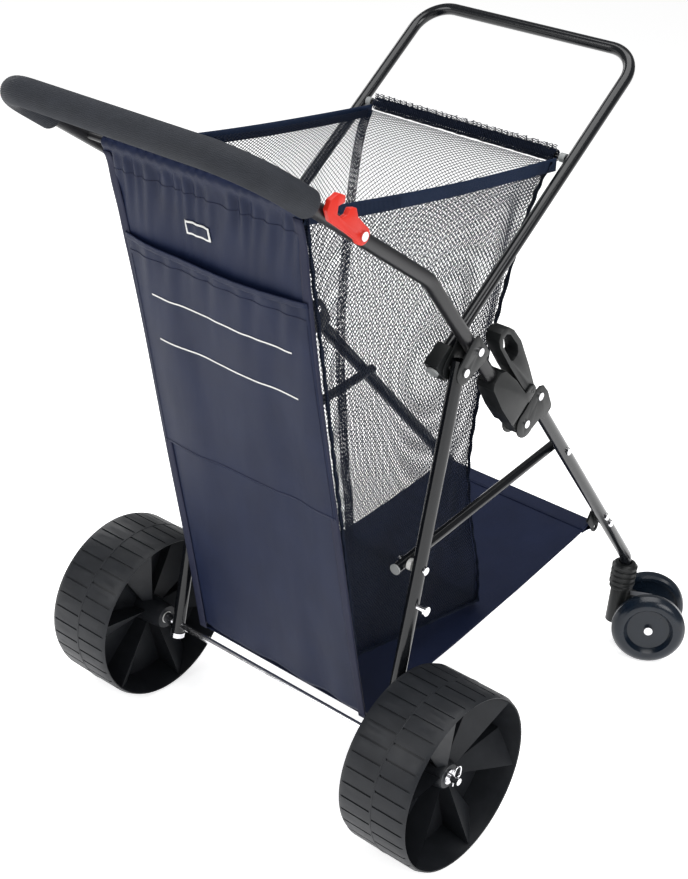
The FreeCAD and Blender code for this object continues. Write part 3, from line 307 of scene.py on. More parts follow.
def softened(name, bevel):
    source = nodes[name]
    mesh = source.data.copy()
    work = bmesh.new()
    work.from_mesh(mesh)
    bmesh.ops.remove_doubles(work, verts=work.verts, dist=edgeFeel["weld"])
    flat, sharp = math.radians(edgeFeel["flat"]), math.radians(edgeFeel["sharp"])
    bmesh.ops.dissolve_limit(work, angle_limit=flat, verts=work.verts, edges=work.edges)
    for face in work.faces:
        face.smooth = True
    for edge in work.edges:
        edge.smooth = len(edge.link_faces) == 2 and edge.calc_face_angle(0) < sharp
    work.to_mesh(mesh)
    work.free()
    piece = newObject(name + "_finished", mesh, finishOf[name])
    if bevel:
        rounding = piece.modifiers.new("roundedEdges", "BEVEL")
        rounding.width = bevel
        rounding.segments = edgeFeel["segments"]
        rounding.limit_method = "ANGLE"
        rounding.angle_limit = sharp
        applied(piece)
        piece.data.set_sharp_from_angle(angle=math.radians(edgeFeel["sharpAfter"]))
        for face in piece.data.polygons:
            face.use_smooth = True
    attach(piece, source["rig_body"])
    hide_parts(name)
    return piece


edgeRounding = {
    "lock_housing": 0.0025, "lock_lever": 0.002, "hinge_plates": 0.0006, "lock_plates": 0.0006,
    "loop_saddles": 0.002, "shelf_brackets": 0.0008, "caster_fork": 0.0025, "fold_hook": 0.0012,
    "caster_lock": 0.001,
}
for name in nodes:
    if name not in finishOf or name == "handle_grip":
        continue
    stem = name.replace("_right", "").replace("_left", "")
    softened(name, edgeRounding.get(stem, 0))
print("frame pieces finished")

# foam sleeve with fine ribs along it
gripSize = {
    "half": 0.1949, "radius": 0.017, "bend": 0.067, "bendSteps": 14, "ribs": 48, "ribDeep": 0.0006,
    "ends": ((0, 0.80), (0.0012, 0.93), (0.003, 1.0)),  # how far in from the end, and its share of the radius
    "endBack": 0.0085,
}


def roundedCorner(before, corner, after, radius, steps):
    first, second = (before - corner).normalized(), (after - corner).normalized()
    half = first.angle(second) / 2
    reach = radius / math.tan(half)
    centre = corner + (first + second).normalized() * (radius / math.sin(half))
    start, end = corner + first * reach - centre, corner + second * reach - centre
    turn = start.angle(end)
    line = []
    for k in range(steps + 1):
        share = k / steps
        mix = start * math.sin((1 - share) * turn) + end * math.sin(share * turn)
        line.append(centre + mix / math.sin(turn))
    return line


def sweptRing(name, line, flat, ring, material):
    # ring lists the radius at each step round, line holds points with a scale, and both ends are closed
    mesh = bpy.data.meshes.new(name)
    around = len(ring)
    verts, faces = [], []
    for k, (point, scale) in enumerate(line):
        way = (line[min(k + 1, len(line) - 1)][0] - line[max(k - 1, 0)][0]).normalized()
        side = way.cross(flat).normalized()
        for step in range(around):
            turn = math.tau * step / around
            ray = side * math.cos(turn) + flat * math.sin(turn)
            verts.append(point + ray * (ring[step] * scale))
    for k in range(len(line) - 1):
        for step in range(around):
            nextStep = (step + 1) % around
            low, high = k * around, (k + 1) * around
            faces.append((low + step, high + step, high + nextStep, low + nextStep))
    faces.append(tuple(range(around)))
    faces.append(tuple(reversed(range((len(line) - 1) * around, len(line) * around))))
    mesh.from_pydata(verts, [], faces)
    mesh.validate()
    work = bmesh.new()
    work.from_mesh(mesh)
    bmesh.ops.recalc_face_normals(work, faces=work.faces)
    work.to_mesh(mesh)
    work.free()
    for face in mesh.polygons:
        face.use_smooth = len(face.vertices) == 4
    return newObject(name, mesh, material)


def ribbedGrip():
    low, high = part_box("handle_grip")
    rodLow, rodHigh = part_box("rear_rod")
    bar = Vector((0, low.y + gripSize["radius"], high.z - gripSize["radius"]))
    armPoint = Vector((rodHigh.x - 0.001, (rodLow.y + rodHigh.y) / 2, (rodLow.z + rodHigh.z) / 2))
    corner = Vector((gripSize["half"], bar.y, bar.z))
    armWay = (armPoint - corner).normalized()
    foamEnd = corner + armWay * ((high.y - corner.y - gripSize["endBack"]) / armWay.y)
    flip = Vector((-1, 1, 1))
    bend = roundedCorner(foamEnd, corner, corner * flip, gripSize["bend"], gripSize["bendSteps"])
    right = [(foamEnd - armWay * inset, scale) for inset, scale in gripSize["ends"]]
    right += [(point, 1.0) for point in bend]
    line = right + [(point * flip, scale) for point, scale in reversed(right)]
    flat = armWay.cross(Vector((1, 0, 0))).normalized()
    ring = []
    for k in range(gripSize["ribs"] * 4):
        dip = 0.5 - 0.5 * math.cos(math.tau * k / 4)
        ring.append(gripSize["radius"] - gripSize["ribDeep"] * dip)
    grip = sweptRing("ribbedGrip", line, flat, ring, foam)
    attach(grip, "handle")
    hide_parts("handle_grip")


ribbedGrip()
print("grip made")


def wave(*place):
    return noise.noise(Vector(place))


def between(a, b, share):
    return a + (b - a) * share


def eased(share):
    share = min(1.0, max(0.0, share))
    return share * share * (3 - 2 * share)


def through(points, share):  # a smooth line through the points
    count = len(points) - 1
    place = min(max(share, 0.0), 1.0) * count
    i = min(int(place), count - 1)
    t = place - i
    p0 = points[max(i - 1, 0)]
    p1, p2 = points[i], points[i + 1]
    p3 = points[min(i + 2, count)]
    return 0.5 * (2 * p1 + (p2 - p0) * t + (2 * p0 - 5 * p1 + 4 * p2 - p3) * t ** 2
                  + (3 * p1 - 3 * p2 + p3 - p0) * t ** 3)


def alongLine(line, share):  # the point at that share of a line, and the way the line runs there
    place = share * (len(line) - 1)
    i = min(int(place), len(line) - 2)
    return between(line[i], line[i + 1], place - i), (line[i + 1] - line[i]).normalized()


def lineLength(line):
    return sum((line[i + 1] - line[i]).length for i in range(len(line) - 1))


def mirrored(points, sign):
    return [Vector((sign * p.x, p.y, p.z)) for p in points]


def clothPiece(name, surface, flat, grid, thick, material):
    mesh = bpy.data.meshes.new(name)
    acrossCount, alongCount = grid
    verts = []
    for j in range(alongCount + 1):
        for i in range(acrossCount + 1):
            verts.append(surface(i / acrossCount, j / alongCount))
    row = acrossCount + 1
    faces = [(j * row + i, j * row + i + 1, (j + 1) * row + i + 1, (j + 1) * row + i)
             for j in range(alongCount) for i in range(acrossCount)]
    mesh.from_pydata(verts, [], faces)
    layer = mesh.uv_layers.new(name="flatCloth")
    for loop in mesh.loops:
        i, j = loop.vertex_index % row, loop.vertex_index // row
        layer.data[loop.index].uv = (i / acrossCount * flat[0], j / alongCount * flat[1])
    for face in mesh.polygons:
        face.use_smooth = True
    piece = newObject(name, mesh, material)
    wall = piece.modifiers.new("clothThickness", "SOLIDIFY")
    wall.thickness = thick
    wall.offset = 0
    return applied(piece)


rearRod = boxMiddle("rear_rod")
datum = rearRod.y + 0.450  # seams are laid out from the hinge line's datum
frontRod = boxMiddle("front_rod")
shelfBar = boxMiddle("shelf_bar")
panelLow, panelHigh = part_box("back_panel")
fold = Vector((0, panelHigh.y - 0.002, panelLow.z + 0.002))
rearLine = Vector((0, rearRod.y, rearRod.z))
panelWay = (fold - rearLine).normalized()
panelOut = Vector((0, panelWay.z, -panelWay.y)).normalized()  # square to the panel, towards its rear
panelLength = (fold - rearLine).length

panelSize = {
    "flat": (0.316, 0.84), "grid": (150, 300), "half": 0.158, "waist": 0.006, "thick": 0.0011,
    "hem": 0.030, "sleeve": 0.0062, "sleeveFade": 0.02, "seat": 0.0016, "roll": 0.006, "rollRun": 0.012,
    "gather": 0.0030, "gatherDepth": 0.045, "gatherCount": 15, "fineGather": 31, "ripple": 0.0034,
    "drape": 0.0016, "crimp": 0.10, "calmEdge": 0.35, "sleeveClear": 0.0018, "tuck": 0.0022,
    "tuckRipple": 0.0008,
}


def panelHalf(down):
    return panelSize["half"] - panelSize["waist"] * math.sin(math.pi * min(1, max(0, down / panelLength)))


def panelLift(x, down):
    share = x / panelSize["half"]
    pleat = math.sin(panelSize["gatherCount"] * math.pi * (share + 1.6 * down) + 5 * wave(share * 3, 1.7, 0))
    pleat += 0.5 * math.sin(panelSize["fineGather"] * (share + 1.1 * down) + 4 * wave(share * 5, 4.1, 0))
    fade = math.exp(-max(0, down - 0.006) / panelSize["gatherDepth"]) * eased(down / 0.012)
    broad = wave(share * 1.3 + 0.4, down * 3.1, 2.0) + 0.5 * wave(share * 3.3, down * 2.4, 5.0)
    drape = panelSize["drape"] * math.sin(share * 9 + 2 * wave(share * 2, down * 2, 7)) * eased(down / 0.3)
    pinned = eased((1 - abs(share)) / 0.08)
    lift = panelSize["gather"] * pleat * fade + panelSize["ripple"] * broad + drape
    return lift * between(panelSize["calmEdge"], 1, pinned)


def panelPoint(x, down, off=0.0):
    fade = panelSize["sleeveFade"]
    rise = panelSize["sleeve"] * math.exp(-down / fade)
    rise += panelSize["seat"] + off + panelLift(x, down) * eased(down / fade)
    return rearLine + Vector((x, 0, 0)) + panelWay * down + panelOut * rise


def panelSurface(u, v):
    total = panelSize["hem"] + math.pi * panelSize["sleeve"] + panelLength
    run = v * total
    side = 2 * u - 1
    if run < panelSize["hem"]:
        down = panelSize["hem"] - run
        tuck = panelSize["tuck"] + panelSize["tuckRipple"] * math.sin(40 * side)
        base = rearLine + Vector((side * panelHalf(0), 0, 0)) + panelWay * down
        return base - panelOut * (panelSize["sleeve"] * math.exp(-down / panelSize["sleeveFade"]) + tuck)
    run -= panelSize["hem"]
    if run < math.pi * panelSize["sleeve"]:
        turn = run / panelSize["sleeve"]
        ring = -panelOut * math.cos(turn) - panelWay * math.sin(turn)
        crimp = 1 + panelSize["crimp"] * math.sin(60 * side + 3 * wave(side * 4, 0, 0))
        radius = panelSize["sleeve"] * crimp + panelSize["sleeveClear"]
        return rearLine + Vector((side * panelHalf(0), 0, 0)) + ring * radius
    down = run - math.pi * panelSize["sleeve"]
    # the last of it rolls forward over the fold
    tail = eased((down - panelLength + panelSize["rollRun"]) / panelSize["rollRun"])
    return panelPoint(side * panelHalf(down), down) - panelOut * (panelSize["roll"] * tail)


backPanel = clothPiece("backPanel", panelSurface, panelSize["flat"], panelSize["grid"],
                       panelSize["thick"], navyCloth)
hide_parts("back_panel")

pocketSize = {
    "flat": (0.302, 0.317), "grid": (130, 140), "top": 0.120, "low": 0.437, "half": 0.151,
    "bulge": 0.0085 * 0.75, "clear": 0.0022, "thick": 0.001, "hem": 0.022, "dip": 0.006,
    "pleats": 24, "pleatRise": 0.0017, "pleatDepth": 0.05, "sag": 0.0015,
}


def pocketLift(x, down):
    side = x / pocketSize["half"]
    fall = min(1, max(0, (down - pocketSize["top"]) / (pocketSize["low"] - pocketSize["top"])))
    belly = max(0, 1 - abs(side) ** 2.4) * (1 - fall) ** 0.7
    near = (down - pocketSize["top"]) / pocketSize["pleatDepth"]
    pleat = math.sin(pocketSize["pleats"] * side + 3 * wave(side * 3, 9, 0) + 1.8 * near)
    pleat *= math.exp(-near) * eased(near * 6) * eased((1 - abs(side)) / 0.1)
    sag = wave(side * 1.8, fall * 2.2, 11) * (1 - fall)
    lift = pocketSize["bulge"] * belly + pocketSize["pleatRise"] * pleat + pocketSize["sag"] * sag * belly
    return pocketSize["clear"] + lift


def pocketSurface(u, v):
    side = 2 * u - 1
    down = between(pocketSize["top"], pocketSize["low"], v)
    dip = pocketSize["dip"] * (1 - side * side) * (1 - v)  # the loose mouth hangs a little at its middle
    x = side * pocketSize["half"]
    return panelPoint(x, down + dip, pocketLift(x, down))


backPocket = clothPiece("backPocket", pocketSurface, pocketSize["flat"], pocketSize["grid"],
                        pocketSize["thick"], navyCloth)
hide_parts("back_pocket")


def flatTape(name, line, width, thick, material, facing):
    def surface(u, v):
        point, way = alongLine(line, v)
        return point + way.cross(facing).normalized() * (u - 0.5) * width
    return clothPiece(name, surface, (width, lineLength(line)), (4, len(line) - 1), thick, material)


bindingSize = {"width": 0.013, "thick": 0.0016, "inset": 0.005, "lift": 0.0014, "steps": 90}
panelEdges = []
for side, word in ((1, "Right"), (-1, "Left")):
    downs = [panelLength * k / bindingSize["steps"] for k in range(1, bindingSize["steps"] + 1)]
    line = [panelPoint(side * (panelHalf(d) - bindingSize["inset"]), d, bindingSize["lift"]) for d in downs]
    tape = flatTape("panelBinding" + word, line, bindingSize["width"], bindingSize["thick"],
                    bindingTape, panelOut)
    panelEdges.append(tape)

hemSize = {"width": 0.008, "thick": 0.0014, "below": 0.002, "lift": 0.0009, "steps": 60}
mouthLine = []
for k in range(hemSize["steps"] + 1):
    side = 2 * k / hemSize["steps"] - 1
    down = pocketSize["top"] + hemSize["below"] + pocketSize["dip"] * (1 - side ** 2)
    x = pocketSize["half"] * side
    mouthLine.append(panelPoint(x, down, pocketLift(x, pocketSize["top"]) + hemSize["lift"]))
pocketHem = flatTape("pocketHem", mouthLine, hemSize["width"], hemSize["thick"], navyCloth, panelOut)

# a plain patch near the top and two plain stripes across the pocket
patchSize = {"x": -0.018, "down": 0.078, "wide": 0.040, "high": 0.019, "border": 0.006,
             "lift": 0.0016, "faceLift": 0.0005, "thick": 0.0006, "grid": (16, 10)}


def patchPiece(name, inset, lift, material):
    wide, high = patchSize["wide"] - inset, patchSize["high"] - inset

    def surface(u, v):
        x, down = patchSize["x"] + (u - 0.5) * wide, patchSize["down"] + (v - 0.5) * high
        return panelPoint(x, down, lift)
    return clothPiece(name, surface, (wide, high), patchSize["grid"], patchSize["thick"], material)


patchOuter = patchPiece("labelPatch", 0, patchSize["lift"], palePrint)
patchInner = patchPiece("labelPatchFace", patchSize["border"], patchSize["lift"] + patchSize["faceLift"],
                        navyCloth)

stripeSize = {"upper": 0.196, "lower": 0.262, "half": 0.118, "high": 0.0022, "thick": 0.0003,
              "lift": 0.0009, "grid": (90, 2)}


def stripe(name, middle):
    half, high = stripeSize["half"], stripeSize["high"]

    def surface(u, v):
        x, down = (2 * u - 1) * half, middle + (v - 0.5) * high
        return panelPoint(x, down, pocketLift(x, down) + stripeSize["lift"])
    return clothPiece(name, surface, (2 * half, high), stripeSize["grid"], stripeSize["thick"], palePrint)


stripes = [stripe("pocketStripeUpper", stripeSize["upper"]), stripe("pocketStripeLower", stripeSize["lower"])]
print("back panel sewn")

# cloth shelf: the sheet itself, and a hem folded round the front bar
shelfSize = {
    "flat": (0.306, 0.55), "grid": (90, 190), "half": 0.153, "front": 0.1455, "thick": 0.0012,
    "sleeve": 0.0058, "sleeveFade": 0.02, "sag": 0.007, "ripple": 0.0016, "fineRipple": 0.0009,
    "short": 0.004,
}
barHemSize = {"flat": (0.291, 0.062), "grid": (70, 40), "lap": 0.022, "lift": 0.0013,
              "under": 0.0016, "underFade": 0.01}
barPoint = Vector((0, shelfBar.y, shelfBar.z))
shelfStart = Vector((0, fold.y + 0.002, fold.z - 0.001))
shelfWay = (barPoint - shelfStart).normalized()
shelfUp = Vector((0, -shelfWay.z, shelfWay.y))
shelfLength = (barPoint - shelfStart).length


def shelfPoint(side, run, lift=0.0):
    share = min(1, run / shelfLength)
    x = side * between(shelfSize["half"], shelfSize["front"], eased(share * 1.2 - 0.2))
    belly = math.sin(math.pi * share)
    ripple = shelfSize["ripple"] * wave(side * 2.2, share * 4, 20)
    ripple += shelfSize["fineRipple"] * math.sin(side * 11 + 3 * wave(share * 3, side, 3))
    drop = (shelfSize["sag"] * (1 - 0.35 * side * side) - ripple) * belly
    rise = shelfSize["sleeve"] * math.exp((run - shelfLength) / shelfSize["sleeveFade"])
    return shelfStart + Vector((x, 0, 0)) + shelfWay * run + shelfUp * (rise - drop + lift)


def shelfSurface(u, v):
    return shelfPoint(2 * u - 1, v * (shelfLength - shelfSize["short"]))  # stops just short of the bar


def barHemSurface(u, v):  # laps the shelf's top, turns round the bar and comes back below
    side, sleeve, lap = 2 * u - 1, shelfSize["sleeve"], barHemSize["lap"]
    run = v * (2 * lap + math.pi * sleeve) - lap
    if run < 0:
        return shelfPoint(side, shelfLength + run, barHemSize["lift"])
    middle = barPoint + Vector((side * shelfSize["front"], 0, 0))
    if run < math.pi * sleeve:
        turn = run / sleeve
        return middle + (shelfUp * math.cos(turn) + shelfWay * math.sin(turn)) * (sleeve + barHemSize["lift"])
    back = run - math.pi * sleeve
    fall = sleeve * math.exp(-back / barHemSize["underFade"]) + barHemSize["under"]
    return middle - shelfWay * back - shelfUp * fall


cargoShelf = clothPiece("cargoShelf", shelfSurface, shelfSize["flat"], shelfSize["grid"],
                        shelfSize["thick"], navyCloth)
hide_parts("cargo_shelf")
barHem = clothPiece("barHem", barHemSurface, barHemSize["flat"], barHemSize["grid"],
                    shelfSize["thick"], navyCloth)
print("shelf sewn")

# the mesh bag, laid out between seam lines that run from the rim to the floor
bagSize = {
    "side": (0.42, 0.65), "front": (0.262, 0.68), "floor": (0.266, 0.32), "pitch": 0.0066,
    "strand": 0.00056, "strandSides": 3, "weave": 0.00035, "rearHalf": 0.151, "rearLowHalf": 0.144,
    "rearLow": 0.245, "bulge": 0.006, "billow": 0.005, "tug": 0.004, "rimSag": 0.006,
    "frontHollow": 0.005, "frontRipple": 0.004, "floorSag": 0.010, "panelClear": 0.0045,
}
frontSeam = [Vector(p) + Vector((0, datum, 0)) for p in (
    (0.151, 0.031, 0.876), (0.148, 0.015, 0.842), (0.141, 0.001, 0.778), (0.133, -0.008, 0.690),
    (0.126, -0.013, 0.600), (0.119, -0.010, 0.510), (0.114, 0.002, 0.430), (0.117, 0.024, 0.345),
    (0.121, 0.050, 0.268), (0.122, 0.062, 0.207))]


def panelFront(height):
    share = (height - fold.z) / (rearRod.z - fold.z)
    return between(fold.y, rearRod.y, share) + bagSize["panelClear"]


def rearSeam(t):
    height = between(rearRod.z - 0.006, bagSize["rearLow"], t)
    half = between(bagSize["rearHalf"], bagSize["rearLowHalf"], t)
    return Vector((half, panelFront(height), height))


def sideSurface(sign):
    def surface(u, v):
        point = between(rearSeam(v), through(frontSeam, v), u)
        edge = math.sin(math.pi * u) * math.sin(math.pi * min(1, v * 1.02))
        belly = edge * (bagSize["bulge"] + bagSize["billow"] * wave(u * 3, v * 4, 30 + sign))
        tug = bagSize["tug"] * math.sin(26 * u - 9 * v) * math.exp(-((u - 0.93) / 0.16) ** 2)
        tug *= eased(v * 5) * (1 - v)
        top = bagSize["rimSag"] * math.sin(math.pi * u) * (1 - eased(v * 6))
        return Vector((sign * (point.x + belly + tug), point.y, point.z - top))
    return surface


def frontSurface(u, v):
    right = through(frontSeam, v)
    edge = math.sin(math.pi * u)
    hollow = bagSize["frontHollow"] * math.sin(math.pi * v)
    ripple = bagSize["frontRipple"] * wave(u * 3, v * 5, 40)
    return Vector(((2 * u - 1) * right.x, right.y + edge * (ripple - hollow), right.z))


def floorSurface(u, v):
    point = between(rearSeam(1.0), through(frontSeam, 1.0), v)
    sag = bagSize["floorSag"] * math.sin(math.pi * u) * math.sin(math.pi * v)
    return Vector(((2 * u - 1) * point.x, point.y, point.z - 0.001 - sag))


def threadTree(name, inputs, build):
    # lines come in and painted threads go out; build adds the nodes between
    tree = bpy.data.node_groups.new(name, "GeometryNodeTree")
    face = tree.interface
    face.new_socket("Geometry", in_out="INPUT", socket_type="NodeSocketGeometry")
    made = [face.new_socket(label, in_out="INPUT", socket_type="NodeSocket" + kind)
            for label, kind in inputs]
    face.new_socket("Geometry", in_out="OUTPUT", socket_type="NodeSocketGeometry")
    add = tree.nodes.new

    def join(source, output, target, place):
        tree.links.new(source.outputs[output], target.inputs[place])

    start, end, curve = add("NodeGroupInput"), add("NodeGroupOutput"), add("GeometryNodeMeshToCurve")
    real, coat = add("GeometryNodeRealizeInstances"), add("GeometryNodeSetMaterial")
    join(start, "Geometry", curve, "Mesh")
    build(add, join, start, curve, real)
    join(real, "Geometry", coat, "Geometry")
    join(start, "Finish", coat, "Material")
    join(coat, "Geometry", end, "Geometry")
    return tree, [socket.identifier for socket in made]


def grown(name, lines, group, values, material):
    mesh = bpy.data.meshes.new(name)
    verts, edges = [], []
    for line in lines:
        first = len(verts)
        verts.extend(line)
        edges.extend((k, k + 1) for k in range(first, len(verts) - 1))
    mesh.from_pydata(verts, edges, [])
    piece = newObject(name, mesh, material)
    grow = piece.modifiers.new("threads", "NODES")
    grow.node_group, keys = group
    for key, value in zip(keys, (*values, material)):
        grow[key] = value
    return applied(piece)


def buildStrand(add, join, start, curve, real):
    ring, skin = add("GeometryNodeCurvePrimitiveCircle"), add("GeometryNodeCurveToMesh")
    join(start, "Strand radius", ring, "Radius")
    join(start, "Sides", ring, "Resolution")
    join(curve, "Curve", skin, "Curve")
    join(ring, "Curve", skin, "Profile Curve")
    join(skin, "Mesh", real, "Geometry")


strandInputs = (("Strand radius", "Float"), ("Sides", "Int"), ("Finish", "Material"))
strandGroup = threadTree("netStrands", strandInputs, buildStrand)


def strandPiece(name, lines):
    values = (bagSize["strand"], bagSize["strandSides"])
    piece = grown(name, lines, strandGroup, values, netCord)
    for face in piece.data.polygons:
        face.use_smooth = True
    return piece


def netLines(surface, width, height, pitch):
    # two sets of slanting strands over a surface, each passing over and under the other
    columns = max(2, round(width / pitch))
    rows = max(2, round(height / pitch * 2))
    reach = rows // 2 + 1
    lines = []

    def spot(x, j, way):
        u, v = x / columns, j / rows
        point = surface(u, v)
        du = surface(min(1, u + 0.01), v) - surface(max(0, u - 0.01), v)
        dv = surface(u, min(1, v + 0.01)) - surface(u, max(0, v - 0.01))
        over = way * bagSize["weave"] * (1 if j % 2 else -1)
        return point + du.cross(dv).normalized() * over

    for way in (1, -1):
        for k in range(-reach, columns + reach + 1):
            places = [(k + way * j / 2, j) for j in range(rows + 1)]
            line = [spot(x, j, way) for x, j in places if 0 <= x <= columns]
            if len(line) > 1:
                lines.append(line)
    return lines


def netPiece(name, surface, part, nodeName):
    piece = strandPiece(name, netLines(surface, *bagSize[part], bagSize["pitch"]))
    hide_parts(nodeName)
    return piece


bagSides = [netPiece("bagSideRight", sideSurface(1), "side", "bag_side_right"),
            netPiece("bagSideLeft", sideSurface(-1), "side", "bag_side_left")]
bagFront = netPiece("bagFrontNet", frontSurface, "front", "bag_front")
bagFloor = netPiece("bagFloorNet", floorSurface, "floor", "bag_floor")
print("net knotted")

# doubled net gathered along each front corner and around the floor
seamSize = {"width": 0.013, "pitch": 0.0036, "ruffle": 0.0009, "lift": 0.002, "double": 0.0018,
            "frontSteps": 70, "rearSteps": 60, "floorSteps": 30, "lowSteps": 24}


def seamNet(name, line, outward):
    count = len(line) - 1
    out = outward.normalized()

    def surface(u, v):
        point, way = alongLine(line, v)
        across = way.cross(outward).normalized() * (u - 0.5) * seamSize["width"]
        crease = math.sin(v * count * 2.1 + 4 * wave(v * 9, u, 50)) * (0.3 + abs(u - 0.5))
        return point + across + out * (seamSize["ruffle"] * crease + seamSize["lift"])

    lines = netLines(surface, seamSize["width"], lineLength(line), seamSize["pitch"])
    second = [[p + out * seamSize["double"] for p in strand] for strand in lines]
    return strandPiece(name, lines + second)


def seamShares(key):  # even shares from one end of a seam to the other
    return [k / seamSize[key] for k in range(seamSize[key] + 1)]


seams, floorSeams = [], []
for sign, word in ((1, "Right"), (-1, "Left")):
    corner = mirrored([through(frontSeam, t) for t in seamShares("frontSteps")], sign)
    seams.append(seamNet("frontSeam" + word, corner, Vector((sign * 0.7, 0.7, 0))))
    rear = mirrored([rearSeam(t) for t in seamShares("rearSteps")], sign)
    seams.append(seamNet("rearSeam" + word, rear, Vector((sign * 0.8, 0.6, 0))))
    low = mirrored([between(rearSeam(1), through(frontSeam, 1), t) for t in seamShares("floorSteps")], sign)
    floorSeams.append(seamNet("floorSeam" + word, low, Vector((sign * 0.7, 0, -0.7))))
lowCorner = frontSeam[-1]
lowFront = [Vector(((2 * t - 1) * lowCorner.x, lowCorner.y, lowCorner.z)) for t in seamShares("lowSteps")]
floorSeams.append(seamNet("floorSeamFront", lowFront, Vector((0, 0.7, -0.7))))

# webbing bands with cross ribs, from rod to rod
bandSize = {"x": 0.1555, "high": 0.017, "thick": 0.0016, "rib": 0.0023, "ribHeight": 0.0004,
            "drop": 0.010, "inset": 0.004, "sag": 0.005, "twist": 0.002, "steps": 230}


def bandLine():
    rear = Vector((0, rearRod.y + bandSize["inset"], rearRod.z - bandSize["drop"]))
    front = Vector((0, frontRod.y - bandSize["inset"], frontRod.z - bandSize["drop"]))
    shares = [k / bandSize["steps"] for k in range(bandSize["steps"] + 1)]
    return [between(rear, front, share) - Vector((0, 0, bandSize["sag"] * math.sin(math.pi * share)))
            for share in shares]


def ribbedBand(name, sign):
    line = bandLine()
    length, high = lineLength(line), bandSize["high"]
    steps = 4 * round(length / bandSize["rib"])

    def surface(u, v):
        point = alongLine(line, v)[0]
        rib = bandSize["ribHeight"] * math.sin(v * length / bandSize["rib"] * math.tau)
        twist = bandSize["twist"] * math.sin(v * 7) * (u - 0.5)
        return Vector((sign * (bandSize["x"] + rib + twist), point.y, point.z + (0.5 - u) * high))
    return clothPiece(name, surface, (high, length), (5, steps), bandSize["thick"], webbing)


bands = [ribbedBand("sideBandRight", 1), ribbedBand("sideBandLeft", -1)]
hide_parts("side_bands")

# net sleeve round the front rod, with its ruffle
sleeveSize = {"half": 0.152, "layers": (0.0066, 0.0082), "pitch": 0.0040, "puff": 0.12,
              "ruffle": 0.011, "rufflePitch": 0.0036, "ruffleFlip": 0.0035,
              "ruffleBack": 0.004, "ruffleUp": 0.006}


def sleeveSurface(radius):
    def surface(u, v):
        turn = u * math.tau
        x = (2 * v - 1) * sleeveSize["half"]
        puff = radius * (1 + sleeveSize["puff"] * wave(v * 30, u * 4, 60))
        return Vector((x, frontRod.y + puff * math.cos(turn), frontRod.z + puff * math.sin(turn)))
    return surface


def ruffleSurface(u, v):
    x = (2 * v - 1) * sleeveSize["half"]
    flip = sleeveSize["ruffleFlip"] * math.sin(v * 190 + 5 * wave(v * 12, 0, 70))
    high = sleeveSize["ruffle"] * (0.8 + 0.2 * wave(v * 40, 1, 1))
    y, z = frontRod.y - sleeveSize["ruffleBack"], frontRod.z + sleeveSize["ruffleUp"]
    return Vector((x, y + flip * u, z + high * u))


sleeveLong = 2 * sleeveSize["half"]
sleeveLines = []
for radius in sleeveSize["layers"]:
    sleeveLines += netLines(sleeveSurface(radius), math.tau * radius, sleeveLong, sleeveSize["pitch"])
sleeveLines += netLines(ruffleSurface, sleeveSize["ruffle"], sleeveLong, sleeveSize["rufflePitch"])
frontSleeve = strandPiece("frontSleeveNet", sleeveLines)

# the same net folded over the rear rod, just above the panel's hem
trimSize = {"half": 0.160, "wide": 0.032, "pitch": 0.0046, "radius": 0.0098, "puff": 0.08, "turn": 1.1}


def rearTrimSurface(u, v):
    turn = math.pi * (u * trimSize["turn"] - 0.5)
    puff = trimSize["radius"] * (1 + trimSize["puff"] * wave(v * 30, u, 80))
    ring = -panelOut * math.cos(turn) - panelWay * math.sin(turn)
    return rearLine + Vector(((2 * v - 1) * trimSize["half"], 0, 0)) + ring * puff


rearTrim = strandPiece("rearTrimNet", netLines(rearTrimSurface, trimSize["wide"], 2 * trimSize["half"],
                                               trimSize["pitch"]))
print("bands and sleeves done")


# rows of stitches
def buildStitch(add, join, start, curve, real):
    dots, rod = add("GeometryNodeResampleCurve"), add("GeometryNodeMeshCylinder")
    put, tangent = add("GeometryNodeInstanceOnPoints"), add("GeometryNodeInputTangent")
    aim = add("FunctionNodeAlignRotationToVector")
    dots.mode = "LENGTH"
    rod.inputs["Vertices"].default_value = 6
    aim.axis = "Z"
    join(curve, "Curve", dots, "Curve")
    join(start, "Spacing", dots, "Length")
    join(start, "Thread radius", rod, "Radius")
    join(start, "Stitch length", rod, "Depth")
    join(dots, "Curve", put, "Points")
    join(rod, "Mesh", put, "Instance")
    join(tangent, "Tangent", aim, "Vector")
    join(aim, "Rotation", put, "Rotation")
    join(put, "Instances", real, "Geometry")


stitchSize = {"spacing": 0.0034, "radius": 0.00035, "length": 0.0024, "lift": 0.0009, "inset": 0.004,
              "hemHalf": 0.156, "hemCount": 160, "lowHalf": 0.149, "pocketCount": 120,
              "sideStart": 0.03, "mouthHalf": 0.146, "mouthCount": 140,
              "shelfInset": 0.003, "shelfLift": 0.0022}
stitchInputs = (("Spacing", "Float"), ("Thread radius", "Float"), ("Stitch length", "Float"),
                ("Finish", "Material"))
stitchGroup = threadTree("stitchRow", stitchInputs, buildStitch)


def stitchPiece(name, lines):
    values = (stitchSize["spacing"], stitchSize["radius"], stitchSize["length"])
    return grown(name, lines, stitchGroup, values, bindingTape)


def overPanel(start, end, count, lift):
    line = []
    for k in range(count + 1):
        x, down = between(start[0], end[0], k / count), between(start[1], end[1], k / count)
        line.append(panelPoint(x, down, lift(x, down)))
    return line


def onPanel(x, down):
    return stitchSize["lift"]


def onPocket(x, down):
    return pocketLift(x, down) + stitchSize["lift"]


def levelRow(half, down, count, lift):
    return overPanel((-half, down), (half, down), count, lift)


def sideRow(x):
    start, end = (x, pocketSize["top"] + stitchSize["sideStart"]), (x, pocketSize["low"])
    return overPanel(start, end, stitchSize["pocketCount"], onPocket)


